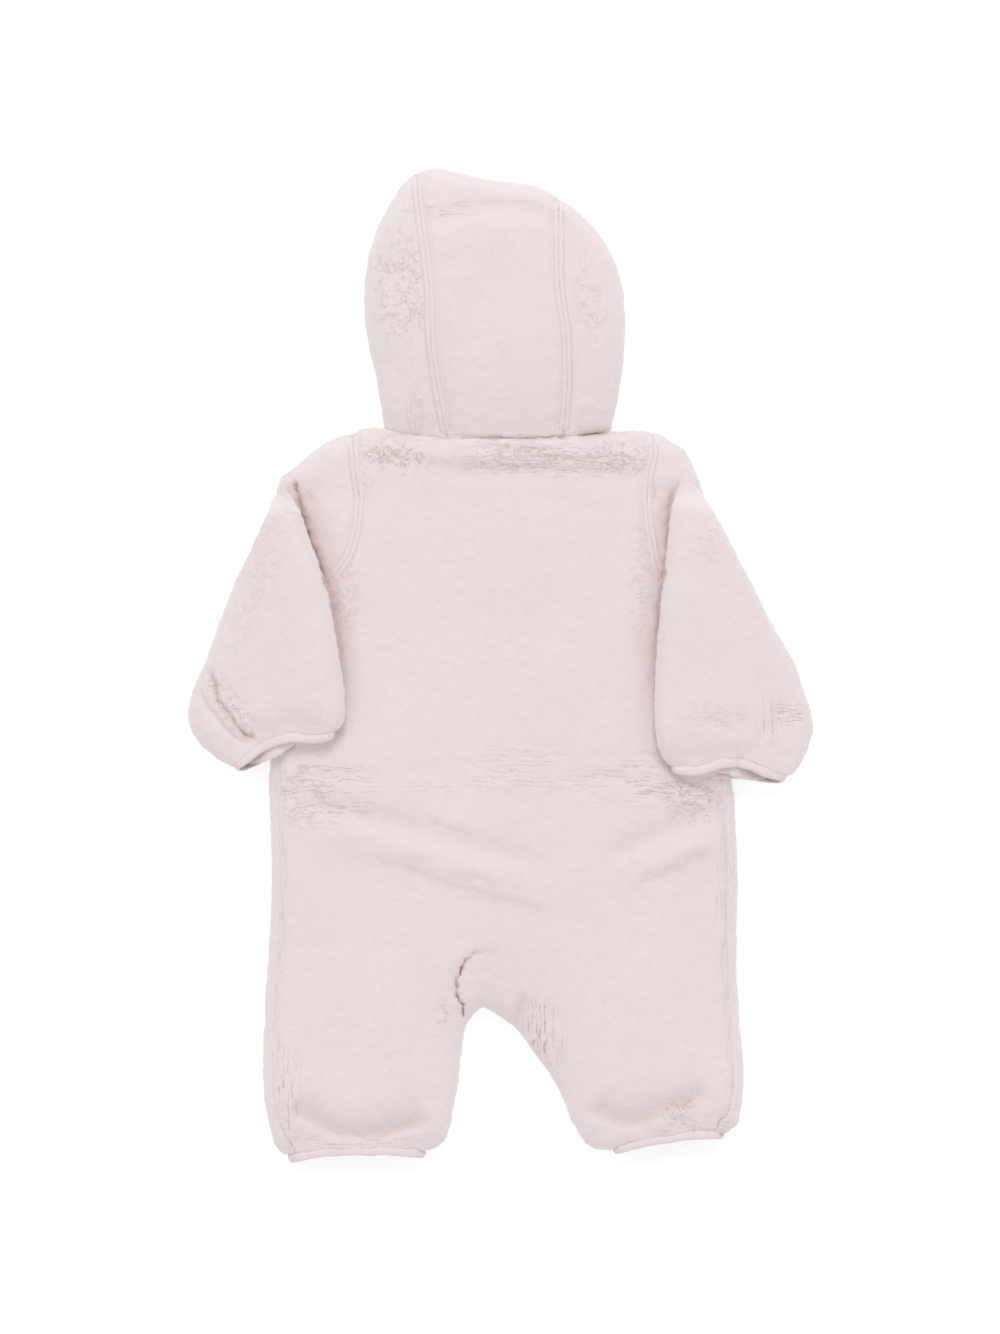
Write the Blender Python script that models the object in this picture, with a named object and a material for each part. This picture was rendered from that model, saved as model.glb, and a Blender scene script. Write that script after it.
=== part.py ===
"""A baby's hooded suit of pile fleece, laid flat on its front with its back up.

The suit is sewn from a back with both legs, two fronts with a centre zip, two sleeves folded
down over the back, and a three-strip hood whose face opening lies on the floor.  Every cloth
piece is a wall of real thickness round an open hollow.  Sizes are millimetres until mesh_object
turns them to metres.  +Z is up, +Y is towards the hood, and the origin is on the floor under the
middle of the suit's outline.
"""
import math
from collections import namedtuple

import bmesh
import bpy
from mathutils import Vector

# ------------------------------------------------------------------ driving sizes, in millimetres
MM = 0.001
CLOTH = 4.0             # pile fleece, base and both piles
SEAM_GAP = 0.3          # between two pieces at a seam
HALF_GAP = SEAM_GAP / 2
NECK_GAP = 0.5
BINDING_WIDTH = 6.5     # stretch binding at cuffs, hems and face opening
BINDING_CLOTH = 3.2
ROUND_UP = 1.4          # a side's rounding is this many times as deep as it is high
ROUND_UNDER = 10.0      # how far in from an edge the underside leaves the floor
CROWN_REACH = 62.0      # how far in from an edge the cloth goes on rising
SIDE_SEAM_IN = 8.0      # the side seams show on the back, this far in from the outline
LAYER_CLEAR = 0.8       # a folded sleeve lies this far above the back
SLEEVE_LOFT = 17.0      # thickness of a folded sleeve, both layers and the air between
RAMP_TOP = 24.0         # height at which a folded sleeve lies once it is on the back
RAMP_OUT = 24.0
RAMP_IN = 4.0
LEVEL_EDGE = 10.0       # a folded sleeve's outer edge lies level over this width

CENTRE_X = -2.0         # line of the zip
CROTCH = (-12.6, -239.0)
ZIP_TOP = 146.0
ZIP_END = -184.0
SLOT_CLOSE = 16.0       # length over which the slot closes below the zip
ZIP_SLOT = 7.3          # half the width between the two fronts' edges
ZIP_HALF = 8.0          # half the width of the level stretch of the front neck edge
NECK_HALF = 79.0        # from the centre line to where the neck seam meets the shoulder
NECK_BACK = 158.9       # lowest height of the neck seam at the back, and its rise to the corners
NECK_BACK_RISE = 6.1
NECK_FRONT = 148.0      # the same at the front
NECK_FRONT_RISE = 17.0
SHOULDER_TIP = 126.0    # the body's side edge starts below this height
SLEEVE_PINCH = 5.5      # how much thinner a sleeve is at the shoulder, and at the cuff
CUFF_PINCH = 1.5
CUFF_DRAW = 0.07        # a binding draws its cuff or hem in by this share
HEM_DRAW = 0.045
TAPE = namedtuple("Tape", "inner coil outer low high")(0.15, 2.2, 7.0, 2.5, 3.8)
SLIDER = namedtuple("Slider", "y half_width half_length low high")(137.0, 3.2, 4.5, 2.9, 5.4)
EAR = namedtuple("Ear", "inner outer half_length low")(1.7, 2.6, 1.5, 0.5)
PIN = namedtuple("Pin", "z radius")(1.6, 0.45)
Pull = namedtuple("Pull", "barrel hole half_neck half_width length thick")
PULL = Pull(1.15, 0.75, 1.3, 2.6, 23.0, 1.1)

# ------------------------------------------------------------------ outline, seen from above
Spot = namedtuple("Spot", "x y")
HOOD_EDGE = [Spot(*row) for row in (
    (-80.5, 165), (-85.5, 200), (-92, 229), (-95.2, 256), (-92.8, 281), (-87.5, 302), (-79, 319),
    (-70, 334), (-59, 345), (-45, 348.2), (-30, 345.5), (-12, 340.8), (8, 338), (25, 335),
    (41, 327), (56, 315), (71.5, 297), (83.5, 273), (87.2, 243), (84.7, 202), (77, 165))]
LEFT_EDGE = [Spot(*row) for row in (
    (-80.5, 165), (-94.5, 163.5), (-104, 160.8), (-118, 156.3), (-132, 147.5), (-144, 139.5),
    (-152.5, 133.5), (-157, 125), (-158, 100), (-158.5, 44), (-160, -20), (-162.2, -68),
    (-160, -138), (-161, -185), (-163.8, -234), (-165.3, -262), (-164.8, -298), (-159.5, -325),
    (-149, -341))]
RIGHT_EDGE = [Spot(*row) for row in (
    (77, 165), (92, 164.5), (106.5, 160.5), (118, 155.5), (128.5, 150), (135, 141.5),
    (139.5, 130), (144, 112), (150, 85), (156, 40), (160, -20), (163.2, -80), (164.6, -130),
    (164.8, -180), (166.2, -225), (168.6, -268), (169.3, -294), (166, -313), (155.5, -324))]
LEFT_INSEAM = [Spot(*row) for row in (
    CROTCH, (-21, -247.5), (-25.6, -257), (-27.5, -275), (-32, -300), (-36.5, -322), (-52, -338))]
RIGHT_INSEAM = [Spot(*row) for row in (
    CROTCH, (-2.5, -243.8), (10, -251.7), (24, -269.5), (38, -288), (45.5, -308), (55, -325),
    (79, -335.5))]

# where the sleeves are sewn in; the last spot of each is the underarm, on the body's side
ArmRow = namedtuple("ArmRow", "centre_y x y")
LEFT_ARM = [ArmRow(*row) for row in (
    (159.2, -104.0, 160.8), (158.0, -103.8, 159.6), (155.4, -103.3, 156.8), (150.6, -102.6, 152.4),
    (144, -102, 146), (133, -101.2, 134), (119, -98.8, 120), (103, -99.4, 103),
    (87, -102.2, 87.5), (72, -108, 73.5), (60, -119, 60), (51, -132, 51.3),
    (44.5, -144.5, 46.8), (39.5, -150.8, 45.3), (35.5, -154.6, 44.6), (32.5, -157.3, 44.2),
    (30, -158.5, 44))]
RIGHT_ARM = [ArmRow(*row) for row in (
    (159.2, 106.5, 160.5), (158.0, 106.6, 159.3), (155.4, 106.8, 156.5), (150.6, 107.2, 152.2),
    (144, 107, 146), (133, 104, 133), (119, 103, 118), (103, 104, 101),
    (87, 106.6, 85), (72, 110, 68), (60, 117, 55.5), (51, 128, 46.8),
    (44.5, 142, 42.7), (39.5, 148.3, 41.3), (35.5, 152.1, 40.6), (32.5, 154.8, 40.2),
    (30, 156, 40))]

# rows below the underarm: height at the centre line or inseam, and at the side
BodyRow = namedtuple("BodyRow", "inner outer")
BODY_ROWS = [BodyRow(*row) for row in (
    (18, 31), (0, 8), (-28, -24), (-58, -58), (-86, -86), (-108, -106), (-121, -117),
    (-132, -127), (-143, -137), (-155, -149), (-169, -163), (-184, -178), (-200, -192),
    (-214, -205), (-225, -216), (-232, -224), (-236.5, -231), (-238.6, -236), (-239, -240),
    (-243.8, -247), (-252, -257), (-266, -271), (-284, -288), (-302, -305), (-318, -320),
    (-329, -332))]
CROTCH_ROW = 18         # the row that passes through the crotch
LEG_TOP = BodyRow(-252, -257)
LEG_END = BodyRow(-338, -341)
HEM_ROW = {"left": BodyRow(-338, -341), "right": BodyRow(-335.5, -324)}

# heights of the suit along its length: half the side's height, and the rise to the middle
Height = namedtuple("Height", "y side crown")
HEIGHTS = [Height(*row) for row in (
    (348, 10, 12), (300, 11, 14), (235, 11, 15), (185, 10, 12), (162, 8, 5), (149, 9, 10.5),
    (128, 9, 6), (60, 9, 8), (-60, 9, 8), (-200, 9, 8), (-290, 9, 8), (-318, 8.8, 7),
    (-336, 7.8, 4.5), (-350, 7.8, 4))]

# the two large folds across the seat
Fold = namedtuple("Fold", "line height width")
FOLDS = [
    Fold((Spot(-120, -116), Spot(-84, -122), Spot(-42, -134), Spot(14, -152)), 4.5, 12.0),
    Fold((Spot(100, -143), Spot(124, -131), Spot(150, -119)), 4.0, 11.0),
]

# the sleeves folded down over the back: outer and inner edge, from the shoulder to the cuff
SleeveRow = namedtuple("SleeveRow", "out_x out_y in_x in_y")
LEFT_SLEEVE = [SleeveRow(*row) for row in (
    (156.5, 123, 147, 125), (160.5, 109, 140.8, 111), (167.2, 94, 136, 95.6), (174.5, 78, 130, 79),
    (181.5, 64, 124.8, 64), (188.5, 48, 120, 48), (195.2, 31.5, 116.8, 30), (202, 12.5, 113.6, 11),
    (209.5, -4, 110.6, -5), (215, -17, 108.8, -17), (217.4, -30, 107.9, -28), (216, -43, 108.2, -35),
    (210, -54, 109, -39), (200, -63.5, 110.5, -42), (188, -69, 113.4, -45))]
RIGHT_SLEEVE = [SleeveRow(*row) for row in (
    (138.6, 129, 122.5, 132), (144, 114, 121, 116.5), (151.5, 98, 119, 100), (160.5, 83, 117.3, 83.5),
    (170.5, 66.5, 115.5, 67), (180, 50, 113.5, 51), (189, 33.5, 111.8, 34.5), (197.5, 17, 110.2, 17.5),
    (206, 0.5, 109, 0), (212.3, -16, 108.2, -17), (217, -32, 107.8, -35), (218.4, -46, 108.8, -48),
    (215.5, -58, 110.5, -57), (210.5, -68, 113, -64), (203, -76, 118, -69.5))]
CUFF_LIP = 8.0          # the cuff's under layer reaches this far past its upper one

# the hood's side strips: seam to the centre strip, and face opening, from the neck to the crown
HoodRow = namedtuple("HoodRow", "seam_x seam_y face_x face_y")
LEFT_HOOD = [HoodRow(*row) for row in (
    (-37, 159.3, -10, 148), (-40.5, 175, -22, 158), (-44, 195, -33, 173), (-47.5, 217, -39, 193),
    (-49, 240, -41.5, 216), (-49.3, 262, -41.5, 240), (-51.5, 283, -40, 262), (-54, 301, -38, 282),
    (-55.8, 315, -37.5, 300), (-57.2, 327, -45, 318), (-58.2, 336, -51.5, 332),
    (-58.7, 341.5, -56.5, 340.5), (-59, 344.2, -58.6, 344), (-59, 345, -59, 345))]
RIGHT_HOOD = [HoodRow(*row) for row in (
    (44, 160.2, 6, 148), (45.5, 176, 18, 158), (46.8, 195, 29, 173), (46.6, 214, 35, 193),
    (46, 233, 37.5, 216), (43, 252, 37.5, 238), (41.2, 270, 36, 258), (41, 286, 33.5, 275),
    (41, 299, 31.5, 289), (41, 310, 34.5, 304), (41, 318.5, 38, 315.5),
    (41, 323.8, 40, 322.8), (41, 326.4, 40.8, 326.2), (41, 327, 41, 327))]
FACE_TOP_ROW = 8        # from this row up, the strips are sewn to the centre strip underneath too

BACK_COLUMNS = 8
FRONT_COLUMNS = 6
STRIP_COLUMNS = 6
HEAD_TOP = (0.0, 0.3, 0.58, 0.8, 0.93, 1.0)
HEAD_UNDER = (0.92, 0.72, 0.0)
HOOD_TOP = (0.0, 0.27, 0.52, 0.74, 0.9, 0.975, 1.0)
HOOD_UNDER = (0.95, 0.82, 0.5, 0.0)
TUBE_SPLIT = (0.035, 0.14, 0.32, 0.5, 0.68, 0.86, 0.965)
WRAP = (0.25, 1.0)

SHELL = "baby_fleece_suit"
COLOURS = {
    "fleece": ((0.80, 0.70, 0.69, 1.0), 0.95, 0.0),
    "binding": ((0.82, 0.72, 0.71, 1.0), 0.8, 0.0),
    "zip_tape": ((0.80, 0.69, 0.69, 1.0), 0.85, 0.0),
    "zip_metal": ((0.78, 0.68, 0.67, 1.0), 0.45, 0.0),
}


# ------------------------------------------------------------------ curves and heights
def curve_through(spots, steps):
    """Return spots on a smooth curve through the given ones, with steps to each span."""
    found = []
    last = len(spots) - 1
    for index in range(last):
        before = Vector(spots[max(index - 1, 0)])
        start = Vector(spots[index])
        end = Vector(spots[index + 1])
        after = Vector(spots[min(index + 2, last)])
        pull_start = (end - before) * 0.5
        pull_end = (after - start) * 0.5
        for step in range(steps):
            t = step / steps
            found.append(start * (2 * t**3 - 3 * t**2 + 1) + pull_start * (t**3 - 2 * t**2 + t)
                         + end * (3 * t**2 - 2 * t**3) + pull_end * (t**3 - t**2))
    found.append(Vector(spots[last]))
    return found


STEPS = 8
HOOD_LINE = curve_through(HOOD_EDGE, STEPS)
SIDE_LINE = {"left": curve_through(LEFT_EDGE, STEPS), "right": curve_through(RIGHT_EDGE, STEPS)}
INSEAM_LINE = {"left": curve_through(LEFT_INSEAM, STEPS),
               "right": curve_through(RIGHT_INSEAM, STEPS)}
ARM_ROWS = {"left": LEFT_ARM, "right": RIGHT_ARM}
SLEEVE_ROWS = {"left": LEFT_SLEEVE, "right": RIGHT_SLEEVE}
HOOD_ROWS = {"left": LEFT_HOOD, "right": RIGHT_HOOD}
SIGN = {"left": -1.0, "right": 1.0}

# every edge that rounds up from the floor, with the cloth on the left of its direction
EDGE_RUNS = [
    HOOD_LINE[::-1],
    SIDE_LINE["left"],
    INSEAM_LINE["left"][::-1] + INSEAM_LINE["right"][1:],
    SIDE_LINE["right"][::-1],
]
NECK_CORNERS = [SIDE_LINE["left"][0], SIDE_LINE["right"][0]]
NECK_SLOPE = -0.27      # fall of the neck seams where they leave the corners
EDGE_SPANS = [(run[i], run[i + 1]) for run in EDGE_RUNS for i in range(len(run) - 1)]


def x_on(line, y):
    """Return where a line that runs down the suit crosses the height y."""
    for upper, lower in zip(line, line[1:]):
        if upper.y >= y >= lower.y and upper.y > lower.y:
            return upper.x + (lower.x - upper.x) * (upper.y - y) / (upper.y - lower.y)
    return line[0].x if y > line[0].y else line[-1].x


def from_edge(spot):
    """Return the distance from the outline and the direction in which it grows."""
    best = None
    inward = Vector((0.0, 0.0))
    for start, end in EDGE_SPANS:
        along = end - start
        share = max(0.0, min(1.0, (spot - start).dot(along) / along.length_squared))
        away = spot - (start + along * share)
        if best is None or away.length < best - 1e-6:
            best = away.length
            inward = Vector((-along.y, along.x)).normalized()
            if best > 0.4:
                inward = away / best
    for corner in NECK_CORNERS:
        if (spot - corner).length < 0.6:
            inward = Vector((-corner.x, NECK_SLOPE * abs(corner.x))).normalized()
    return best, inward


def ease(t):
    """Return a smooth step from 0 to 1."""
    t = max(0.0, min(1.0, t))
    return t * t * (3 - 2 * t)


def height_row(y):
    """Return half the side's height and the crown at a place along the suit."""
    for upper, lower in zip(HEIGHTS, HEIGHTS[1:]):
        if y >= lower.y:
            t = ease((upper.y - y) / (upper.y - lower.y))
            side = upper.side + (lower.side - upper.side) * t
            return side, upper.crown + (lower.crown - upper.crown) * t
    return HEIGHTS[-1].side, HEIGHTS[-1].crown


def fold_rise(spot):
    """Return how much the folds across the seat lift the cloth."""
    rise = 0.0
    for fold in FOLDS:
        near = min(span_distance(spot, Vector(a), Vector(b)) for a, b in zip(fold.line, fold.line[1:]))
        rise += fold.height * math.exp(-(near / fold.width) ** 2)
    return rise


def span_distance(spot, start, end):
    """Return the distance from a spot to a straight span."""
    along = end - start
    share = max(0.0, min(1.0, (spot - start).dot(along) / along.length_squared))
    return (spot - start - along * share).length


def round_off(share):
    """Return the height and slope of a quarter round at a share of its depth."""
    share = max(share, 1e-5)
    if share >= 1.0:
        return 1.0, 0.0
    rise = math.sqrt(1 - (1 - share) ** 2)
    return rise, (1 - share) / rise


def upper_height(spot, distance):
    """Return the upper surface's height and its slope away from the edge."""
    side, crown = height_row(spot.y)
    reach = ROUND_UP * side
    rise, slope = round_off(distance / reach)
    share = min(distance / CROWN_REACH, 1.0)
    height = side + side * rise + crown * math.sin(share * math.pi / 2) + fold_rise(spot)
    crown_slope = crown * math.cos(share * math.pi / 2) * math.pi / 2 / CROWN_REACH
    return height, slope * side / reach + crown_slope


def upper(spot):
    """Return the point of the upper surface over a spot, and its outward direction."""
    distance, inward = from_edge(spot)
    height, slope = upper_height(spot, distance)
    reach = 1.5
    along_y = upper_height(spot + Vector((0, reach)), distance)[0]
    along_y -= upper_height(spot - Vector((0, reach)), distance)[0]
    along_x = fold_rise(spot + Vector((reach, 0))) - fold_rise(spot - Vector((reach, 0)))
    tilt = Vector((-slope * inward.x - along_x / (2 * reach),
                   -slope * inward.y - along_y / (2 * reach), 1.0))
    return Vector((spot.x, spot.y, height)), tilt.normalized()


def under(spot):
    """Return the point of the under surface below a spot, and its outward direction."""
    distance, inward = from_edge(spot)
    side, _ = height_row(spot.y)
    rise, slope = round_off(distance / ROUND_UNDER)
    slope *= side / ROUND_UNDER
    facing = Vector((-slope * inward.x, -slope * inward.y, -1.0)).normalized()
    return Vector((spot.x, spot.y, side * (1 - rise))), facing


# ------------------------------------------------------------------ meshes
def material(name):
    """Return the material of the given name, made once."""
    if name in bpy.data.materials:
        return bpy.data.materials[name]
    made = bpy.data.materials.new(name)
    made.use_nodes = True
    colour, roughness, metallic = COLOURS[name]
    shader = made.node_tree.nodes["Principled BSDF"]
    shader.inputs["Base Color"].default_value = colour
    shader.inputs["Roughness"].default_value = roughness
    shader.inputs["Metallic"].default_value = metallic
    return made


def mesh_object(name, shape, finish, smooth=True):
    """Turn a bmesh in millimetres into a named object in the suit's collection."""
    bmesh.ops.scale(shape, vec=(MM, MM, MM), verts=shape.verts)
    mesh = bpy.data.meshes.new(name)
    shape.to_mesh(mesh)
    shape.free()
    if smooth:
        mesh.shade_smooth()
        mesh.set_sharp_from_angle(angle=math.radians(50))
    piece = bpy.data.objects.new(name, mesh)
    piece.data.materials.append(material(finish))
    bpy.data.collections[SHELL].objects.link(piece)
    return piece


def cloth_object(name, rows, finish="fleece", thick=CLOTH, ring=False, closed_start=False):
    """Make a wall of cloth from rows of (point, outward direction) on its outer face.

    The rows of a ring close on themselves, and a closed start shuts the first row with a cap.
    """
    shape = bmesh.new()
    known = {}

    def corner(place, layer):
        key = (round(place.x, 3), round(place.y, 3), round(place.z, 3), layer)
        if key not in known:
            known[key] = shape.verts.new(place)
        return known[key]

    outer = [[corner(place, 0) for place, _ in row] for row in rows]
    inner = [[corner(place - facing * thick, 1) for place, facing in row] for row in rows]
    if closed_start:
        inner = inner[1:]

    def face(*corners):
        kept = [c for i, c in enumerate(corners) if c is not corners[i - 1]]
        if len(kept) > 2 and len(set(kept)) == len(kept) and shape.faces.get(kept) is None:
            shape.faces.new(kept)

    def skin(layer, turned):
        for first, second in zip(layer, layer[1:]):
            count = len(first)
            for i in range(count if ring else count - 1):
                k = (i + 1) % count
                quad = (first[i], second[i], second[k], first[k])
                face(*(quad[::-1] if turned else quad))

    skin(outer, False)
    skin(inner, True)
    edges = [(outer[-1], inner[-1], False)]
    if closed_start:
        face(*outer[0])
        face(*inner[0][::-1])
    else:
        edges.append((outer[0], inner[0], True))
    if not ring:
        edges.append(([row[0] for row in outer], [row[0] for row in inner], False))
        edges.append(([row[-1] for row in outer], [row[-1] for row in inner], True))
    for rim_out, rim_in, turned in edges:
        count = len(rim_out)
        for i in range(count if ring else count - 1):
            k = (i + 1) % count
            quad = (rim_out[i], rim_in[i], rim_in[k], rim_out[k])
            face(*(quad[::-1] if turned else quad))
    bmesh.ops.triangulate(shape, faces=shape.faces[:])
    bmesh.ops.recalc_face_normals(shape, faces=shape.faces[:])
    return mesh_object(name, shape, finish)


def with_directions(rows, ring=True):
    """Give each point of a ring's rows its outward direction, from its neighbours."""
    found = []
    for j, row in enumerate(rows):
        above = rows[max(j - 1, 0)]
        below = rows[min(j + 1, len(rows) - 1)]
        count = len(row)
        turned = []
        for i, place in enumerate(row):
            before = row[(i - 1) % count] if ring else row[max(i - 1, 0)]
            after = row[(i + 1) % count] if ring else row[min(i + 1, count - 1)]
            turned.append((place, (below[i] - above[i]).cross(after - before).normalized()))
        found.append(turned)
    return found


def set_gap(pair, shift):
    """Move a point and its direction sideways by a small shift."""
    return pair[0] + Vector(shift), pair[1]


def square_to(pair, along):
    """Turn a point's outward direction square to the given direction."""
    place, facing = pair
    return place, (facing - along * facing.dot(along)).normalized()


# ------------------------------------------------------------------ body rows
def side_spot(side, y):
    """Return the spot of the body's outline at a height below the shoulder."""
    line = [spot for spot in SIDE_LINE[side] if spot.y < SHOULDER_TIP]
    return Vector((x_on(line, y), y))


def inner_spot(side, y):
    """Return the spot of the centre line or, below the crotch, of the inseam."""
    if y >= CROTCH[1]:
        drift = ease((ZIP_END - y) / (ZIP_END - CROTCH[1]))
        return Vector((CENTRE_X + (CROTCH[0] - CENTRE_X) * drift, y))
    return Vector((x_on(INSEAM_LINE[side], y), y))


def seam_inset(y):
    """Return how far in from the outline the side seam runs on the back."""
    return SIDE_SEAM_IN * ease((40 - y) / 75)


def body_rows(side):
    """Return the inner and outer spot of each row from the shoulder to the hem."""
    rows = [(inner_spot(side, row.centre_y), Vector((row.x, row.y))) for row in ARM_ROWS[side]]
    hem = HEM_ROW[side]
    for row in BODY_ROWS + [LEG_END]:
        inner, outer = row
        if inner < LEG_TOP.inner:
            inner = LEG_TOP.inner + (inner - LEG_TOP.inner) * (hem.inner - LEG_TOP.inner) / (
                LEG_END.inner - LEG_TOP.inner)
            outer = LEG_TOP.outer + (outer - LEG_TOP.outer) * (hem.outer - LEG_TOP.outer) / (
                LEG_END.outer - LEG_TOP.outer)
        rows.append((inner_spot(side, inner), side_spot(side, outer)))
    return rows


def hem_onward(side):
    """Return the direction in plan from a leg's end towards its binding."""
    start = inner_spot(side, HEM_ROW[side].inner)
    across = side_spot(side, HEM_ROW[side].outer) - start
    onward = Vector((across.y, -across.x, 0)).normalized()
    return -onward if onward.y > 0 else onward


def arm_outward(side, index):
    """Return the direction in plan from the body to the sleeve across the armhole seam."""
    rows = ARM_ROWS[side]
    above = rows[max(index - 1, 0)]
    below = rows[min(index + 1, len(rows) - 1)]
    along = Vector((below.x - above.x, below.y - above.y)).normalized()
    return Vector((along.y, -along.x)) if side == "left" else Vector((-along.y, along.x))


ARM_COUNT = len(LEFT_ARM)
ROW_COUNT = ARM_COUNT + len(BODY_ROWS) + 1
LEG_START = ARM_COUNT + CROTCH_ROW
LEG_CUT = LEG_START - 6     # the row where a front's solid ends and its leg's starts


def neck_line(x):
    """Return the height of the neck seam and shoulder edge at the back."""
    return NECK_BACK + NECK_BACK_RISE * min(abs(x - CENTRE_X) / NECK_HALF, 1.0) ** 2.4


def front_neck_line(x):
    """Return the height of the neck seam at the front, which lies underneath."""
    share = min(max(abs(x - CENTRE_X) - ZIP_HALF, 0.0) / (NECK_HALF - ZIP_HALF - 0.4), 1.0)
    return NECK_FRONT + NECK_FRONT_RISE * share ** 1.5


def top_edge_spot(side, x, neck):
    """Return the spot of the top row at x, on the neck seam or on the shoulder's outline."""
    corner = SIDE_LINE[side][0]
    if abs(x) > abs(corner.x):
        line = [Vector((spot.y, -abs(spot.x))) for spot in SIDE_LINE[side][:4 * STEPS]]
        return Vector((x, x_on(line, -abs(x))))
    return Vector((x, neck(x)))


def spread(count, part, leg_share):
    """Return the share of a row's width at one column, closer together at the edges of a leg."""
    t = part / count
    torso = 1 - (1 - t) ** 1.45
    leg = 0.5 - 0.5 * math.cos(math.pi * t)
    return torso + (leg - torso) * leg_share


def top_pull(index):
    """Return how closely a row follows the neck and shoulder above it."""
    return ease(1 - index / 7)


def row_spots(side, index, ends, count, neck):
    """Return the spots along a row, bent to the neck and shoulder in the rows nearest them."""
    start, end = ends
    leg_share = ease((index - LEG_START + 7) / 7)
    pull = top_pull(index)
    corner = SIDE_LINE[side][0]
    shares = [spread(count, k, leg_share) for k in range(count + 1)]
    if pull > 0:
        target = (corner.x - start.x) / (ARM_ROWS[side][0].x - start.x)
        nearest = min(range(1, count), key=lambda k: abs(shares[k] - target))
        shares[nearest] += (target - shares[nearest]) * pull
    found = []
    for share in shares:
        spot = start.lerp(end, share)
        if pull > 0 and 0 < share < 1:
            first_start = Vector((start.x, neck(start.x)))
            first_end = Vector((ARM_ROWS[side][0].x, ARM_ROWS[side][0].y))
            straight = first_start.lerp(first_end, share)
            spot = spot + (top_edge_spot(side, straight.x, neck) - straight) * pull
        found.append(spot)
    return found


def make_back():
    """Make the back with both legs, one piece from the neck to the hems."""
    halves = {}
    for side in ("left", "right"):
        rows = []
        for index, (start, end) in enumerate(body_rows(side)):
            outer = end
            if index < ARM_COUNT:
                outer = end - arm_outward(side, index) * HALF_GAP
            else:
                _, inward = from_edge(end)
                outer = end + inward * (seam_inset(end.y) + HALF_GAP)
            row = []
            for spot in row_spots(side, index, (start, outer), BACK_COLUMNS, neck_line):
                pair = upper(spot)
                if from_edge(spot)[0] < 0.2:
                    pair = set_gap(pair, (0, 0, HALF_GAP))
                if index == 0 and abs(spot.x) <= abs(SIDE_LINE[side][0].x) + 0.05:
                    pair = set_gap(pair, (0, -NECK_GAP / 2, 0))
                if index == ROW_COUNT - 1:
                    pair = square_to(pair, hem_onward(side))
                row.append(pair)
            rows.append(row)
        halves[side] = rows
    torso = []
    for index in range(LEG_START + 1):
        torso.append(halves["left"][index][::-1] + halves["right"][index][1:])
    legs = {side: halves[side][LEG_START:] for side in halves}
    legs["left"] = [row[::-1] for row in legs["left"]]
    return join_back(torso, legs)


def join_back(torso, legs):
    """Join the torso's and the two legs' grids into one wall of cloth."""
    shape = bmesh.new()
    known = {}

    def corner(place, layer):
        key = (round(place.x, 3), round(place.y, 3), round(place.z, 3), layer)
        if key not in known:
            known[key] = shape.verts.new(place)
        return known[key]

    for rows in (torso, legs["left"], legs["right"]):
        outer = [[corner(place, 0) for place, _ in row] for row in rows]
        inner = [[corner(place - facing * CLOTH, 1) for place, facing in row] for row in rows]
        for layer, turned in ((outer, False), (inner, True)):
            for first, second in zip(layer, layer[1:]):
                for i in range(len(first) - 1):
                    quad = [first[i], second[i], second[i + 1], first[i + 1]]
                    kept = [c for n, c in enumerate(quad) if c is not quad[n - 1]]
                    if len(kept) > 2:
                        shape.faces.new(kept[::-1] if turned else kept)
    partner = {}
    for rows in (torso, legs["left"], legs["right"]):
        for row in rows:
            for place, facing in row:
                partner[corner(place, 0)] = corner(place - facing * CLOTH, 1)
    rims = [edge for edge in shape.edges if edge.is_boundary and edge.verts[0] in partner]
    for edge in rims:
        loop = edge.link_loops[0]
        first, second = loop.vert, loop.link_loop_next.vert
        shape.faces.new((second, first, partner[first], partner[second]))
    bmesh.ops.triangulate(shape, faces=shape.faces[:])
    bmesh.ops.recalc_face_normals(shape, faces=shape.faces[:])
    return mesh_object("back", shape, "fleece")


def slot_half_width(y):
    """Return half the distance between the fronts' edges: the zip's slot, closing below it."""
    return ZIP_SLOT + (HALF_GAP - ZIP_SLOT) * ease((ZIP_END - y) / SLOT_CLOSE)


def make_front(side):
    """Make one front and its leg, flat on the floor and turned up over the body's side.

    They are one cut of cloth, in two solids, so that the leg's hollow stays open.
    """
    rows = []
    for index, (start, end) in enumerate(body_rows(side)):
        outer = end
        if index < ARM_COUNT:
            outer = end - arm_outward(side, index) * HALF_GAP
        if index <= LEG_START:
            lower = (neck_line(CENTRE_X) - front_neck_line(CENTRE_X)) * top_pull(index)
            start = start + Vector((SIGN[side] * slot_half_width(start.y), -lower))
        row = []
        for spot in row_spots(side, index, (start, outer), FRONT_COLUMNS, front_neck_line):
            pair = under(spot)
            if from_edge(spot)[0] < 0.2 and (index < ARM_COUNT or index > LEG_START):
                pair = set_gap(pair, (0, 0, -HALF_GAP))
            if index == 0 and abs(spot.x) <= abs(SIDE_LINE[side][0].x) + 0.05:
                pair = set_gap(pair, (0, -NECK_GAP / 2, 0))
            row.append(pair)
        if index >= ARM_COUNT:
            _, inward = from_edge(end)
            reach = seam_inset(end.y) - HALF_GAP
            for share in WRAP:
                row.append(upper(end + inward * reach * share))
        else:
            row += [row[-1]] * len(WRAP)
        if index == ROW_COUNT - 1:
            row = [square_to(pair, hem_onward(side)) for pair in row]
        rows.append(row if side == "right" else row[::-1])
    down = Vector((0, -1, 0))
    cut = [square_to(pair, down) for pair in rows[LEG_CUT]]
    body = rows[:LEG_CUT] + [[set_gap(pair, -down * HALF_GAP) for pair in cut]]
    leg = [[set_gap(pair, down * HALF_GAP) for pair in cut]] + rows[LEG_CUT + 1:]
    return cloth_object("front_" + side, body), cloth_object("leg_front_" + side, leg)


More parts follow.
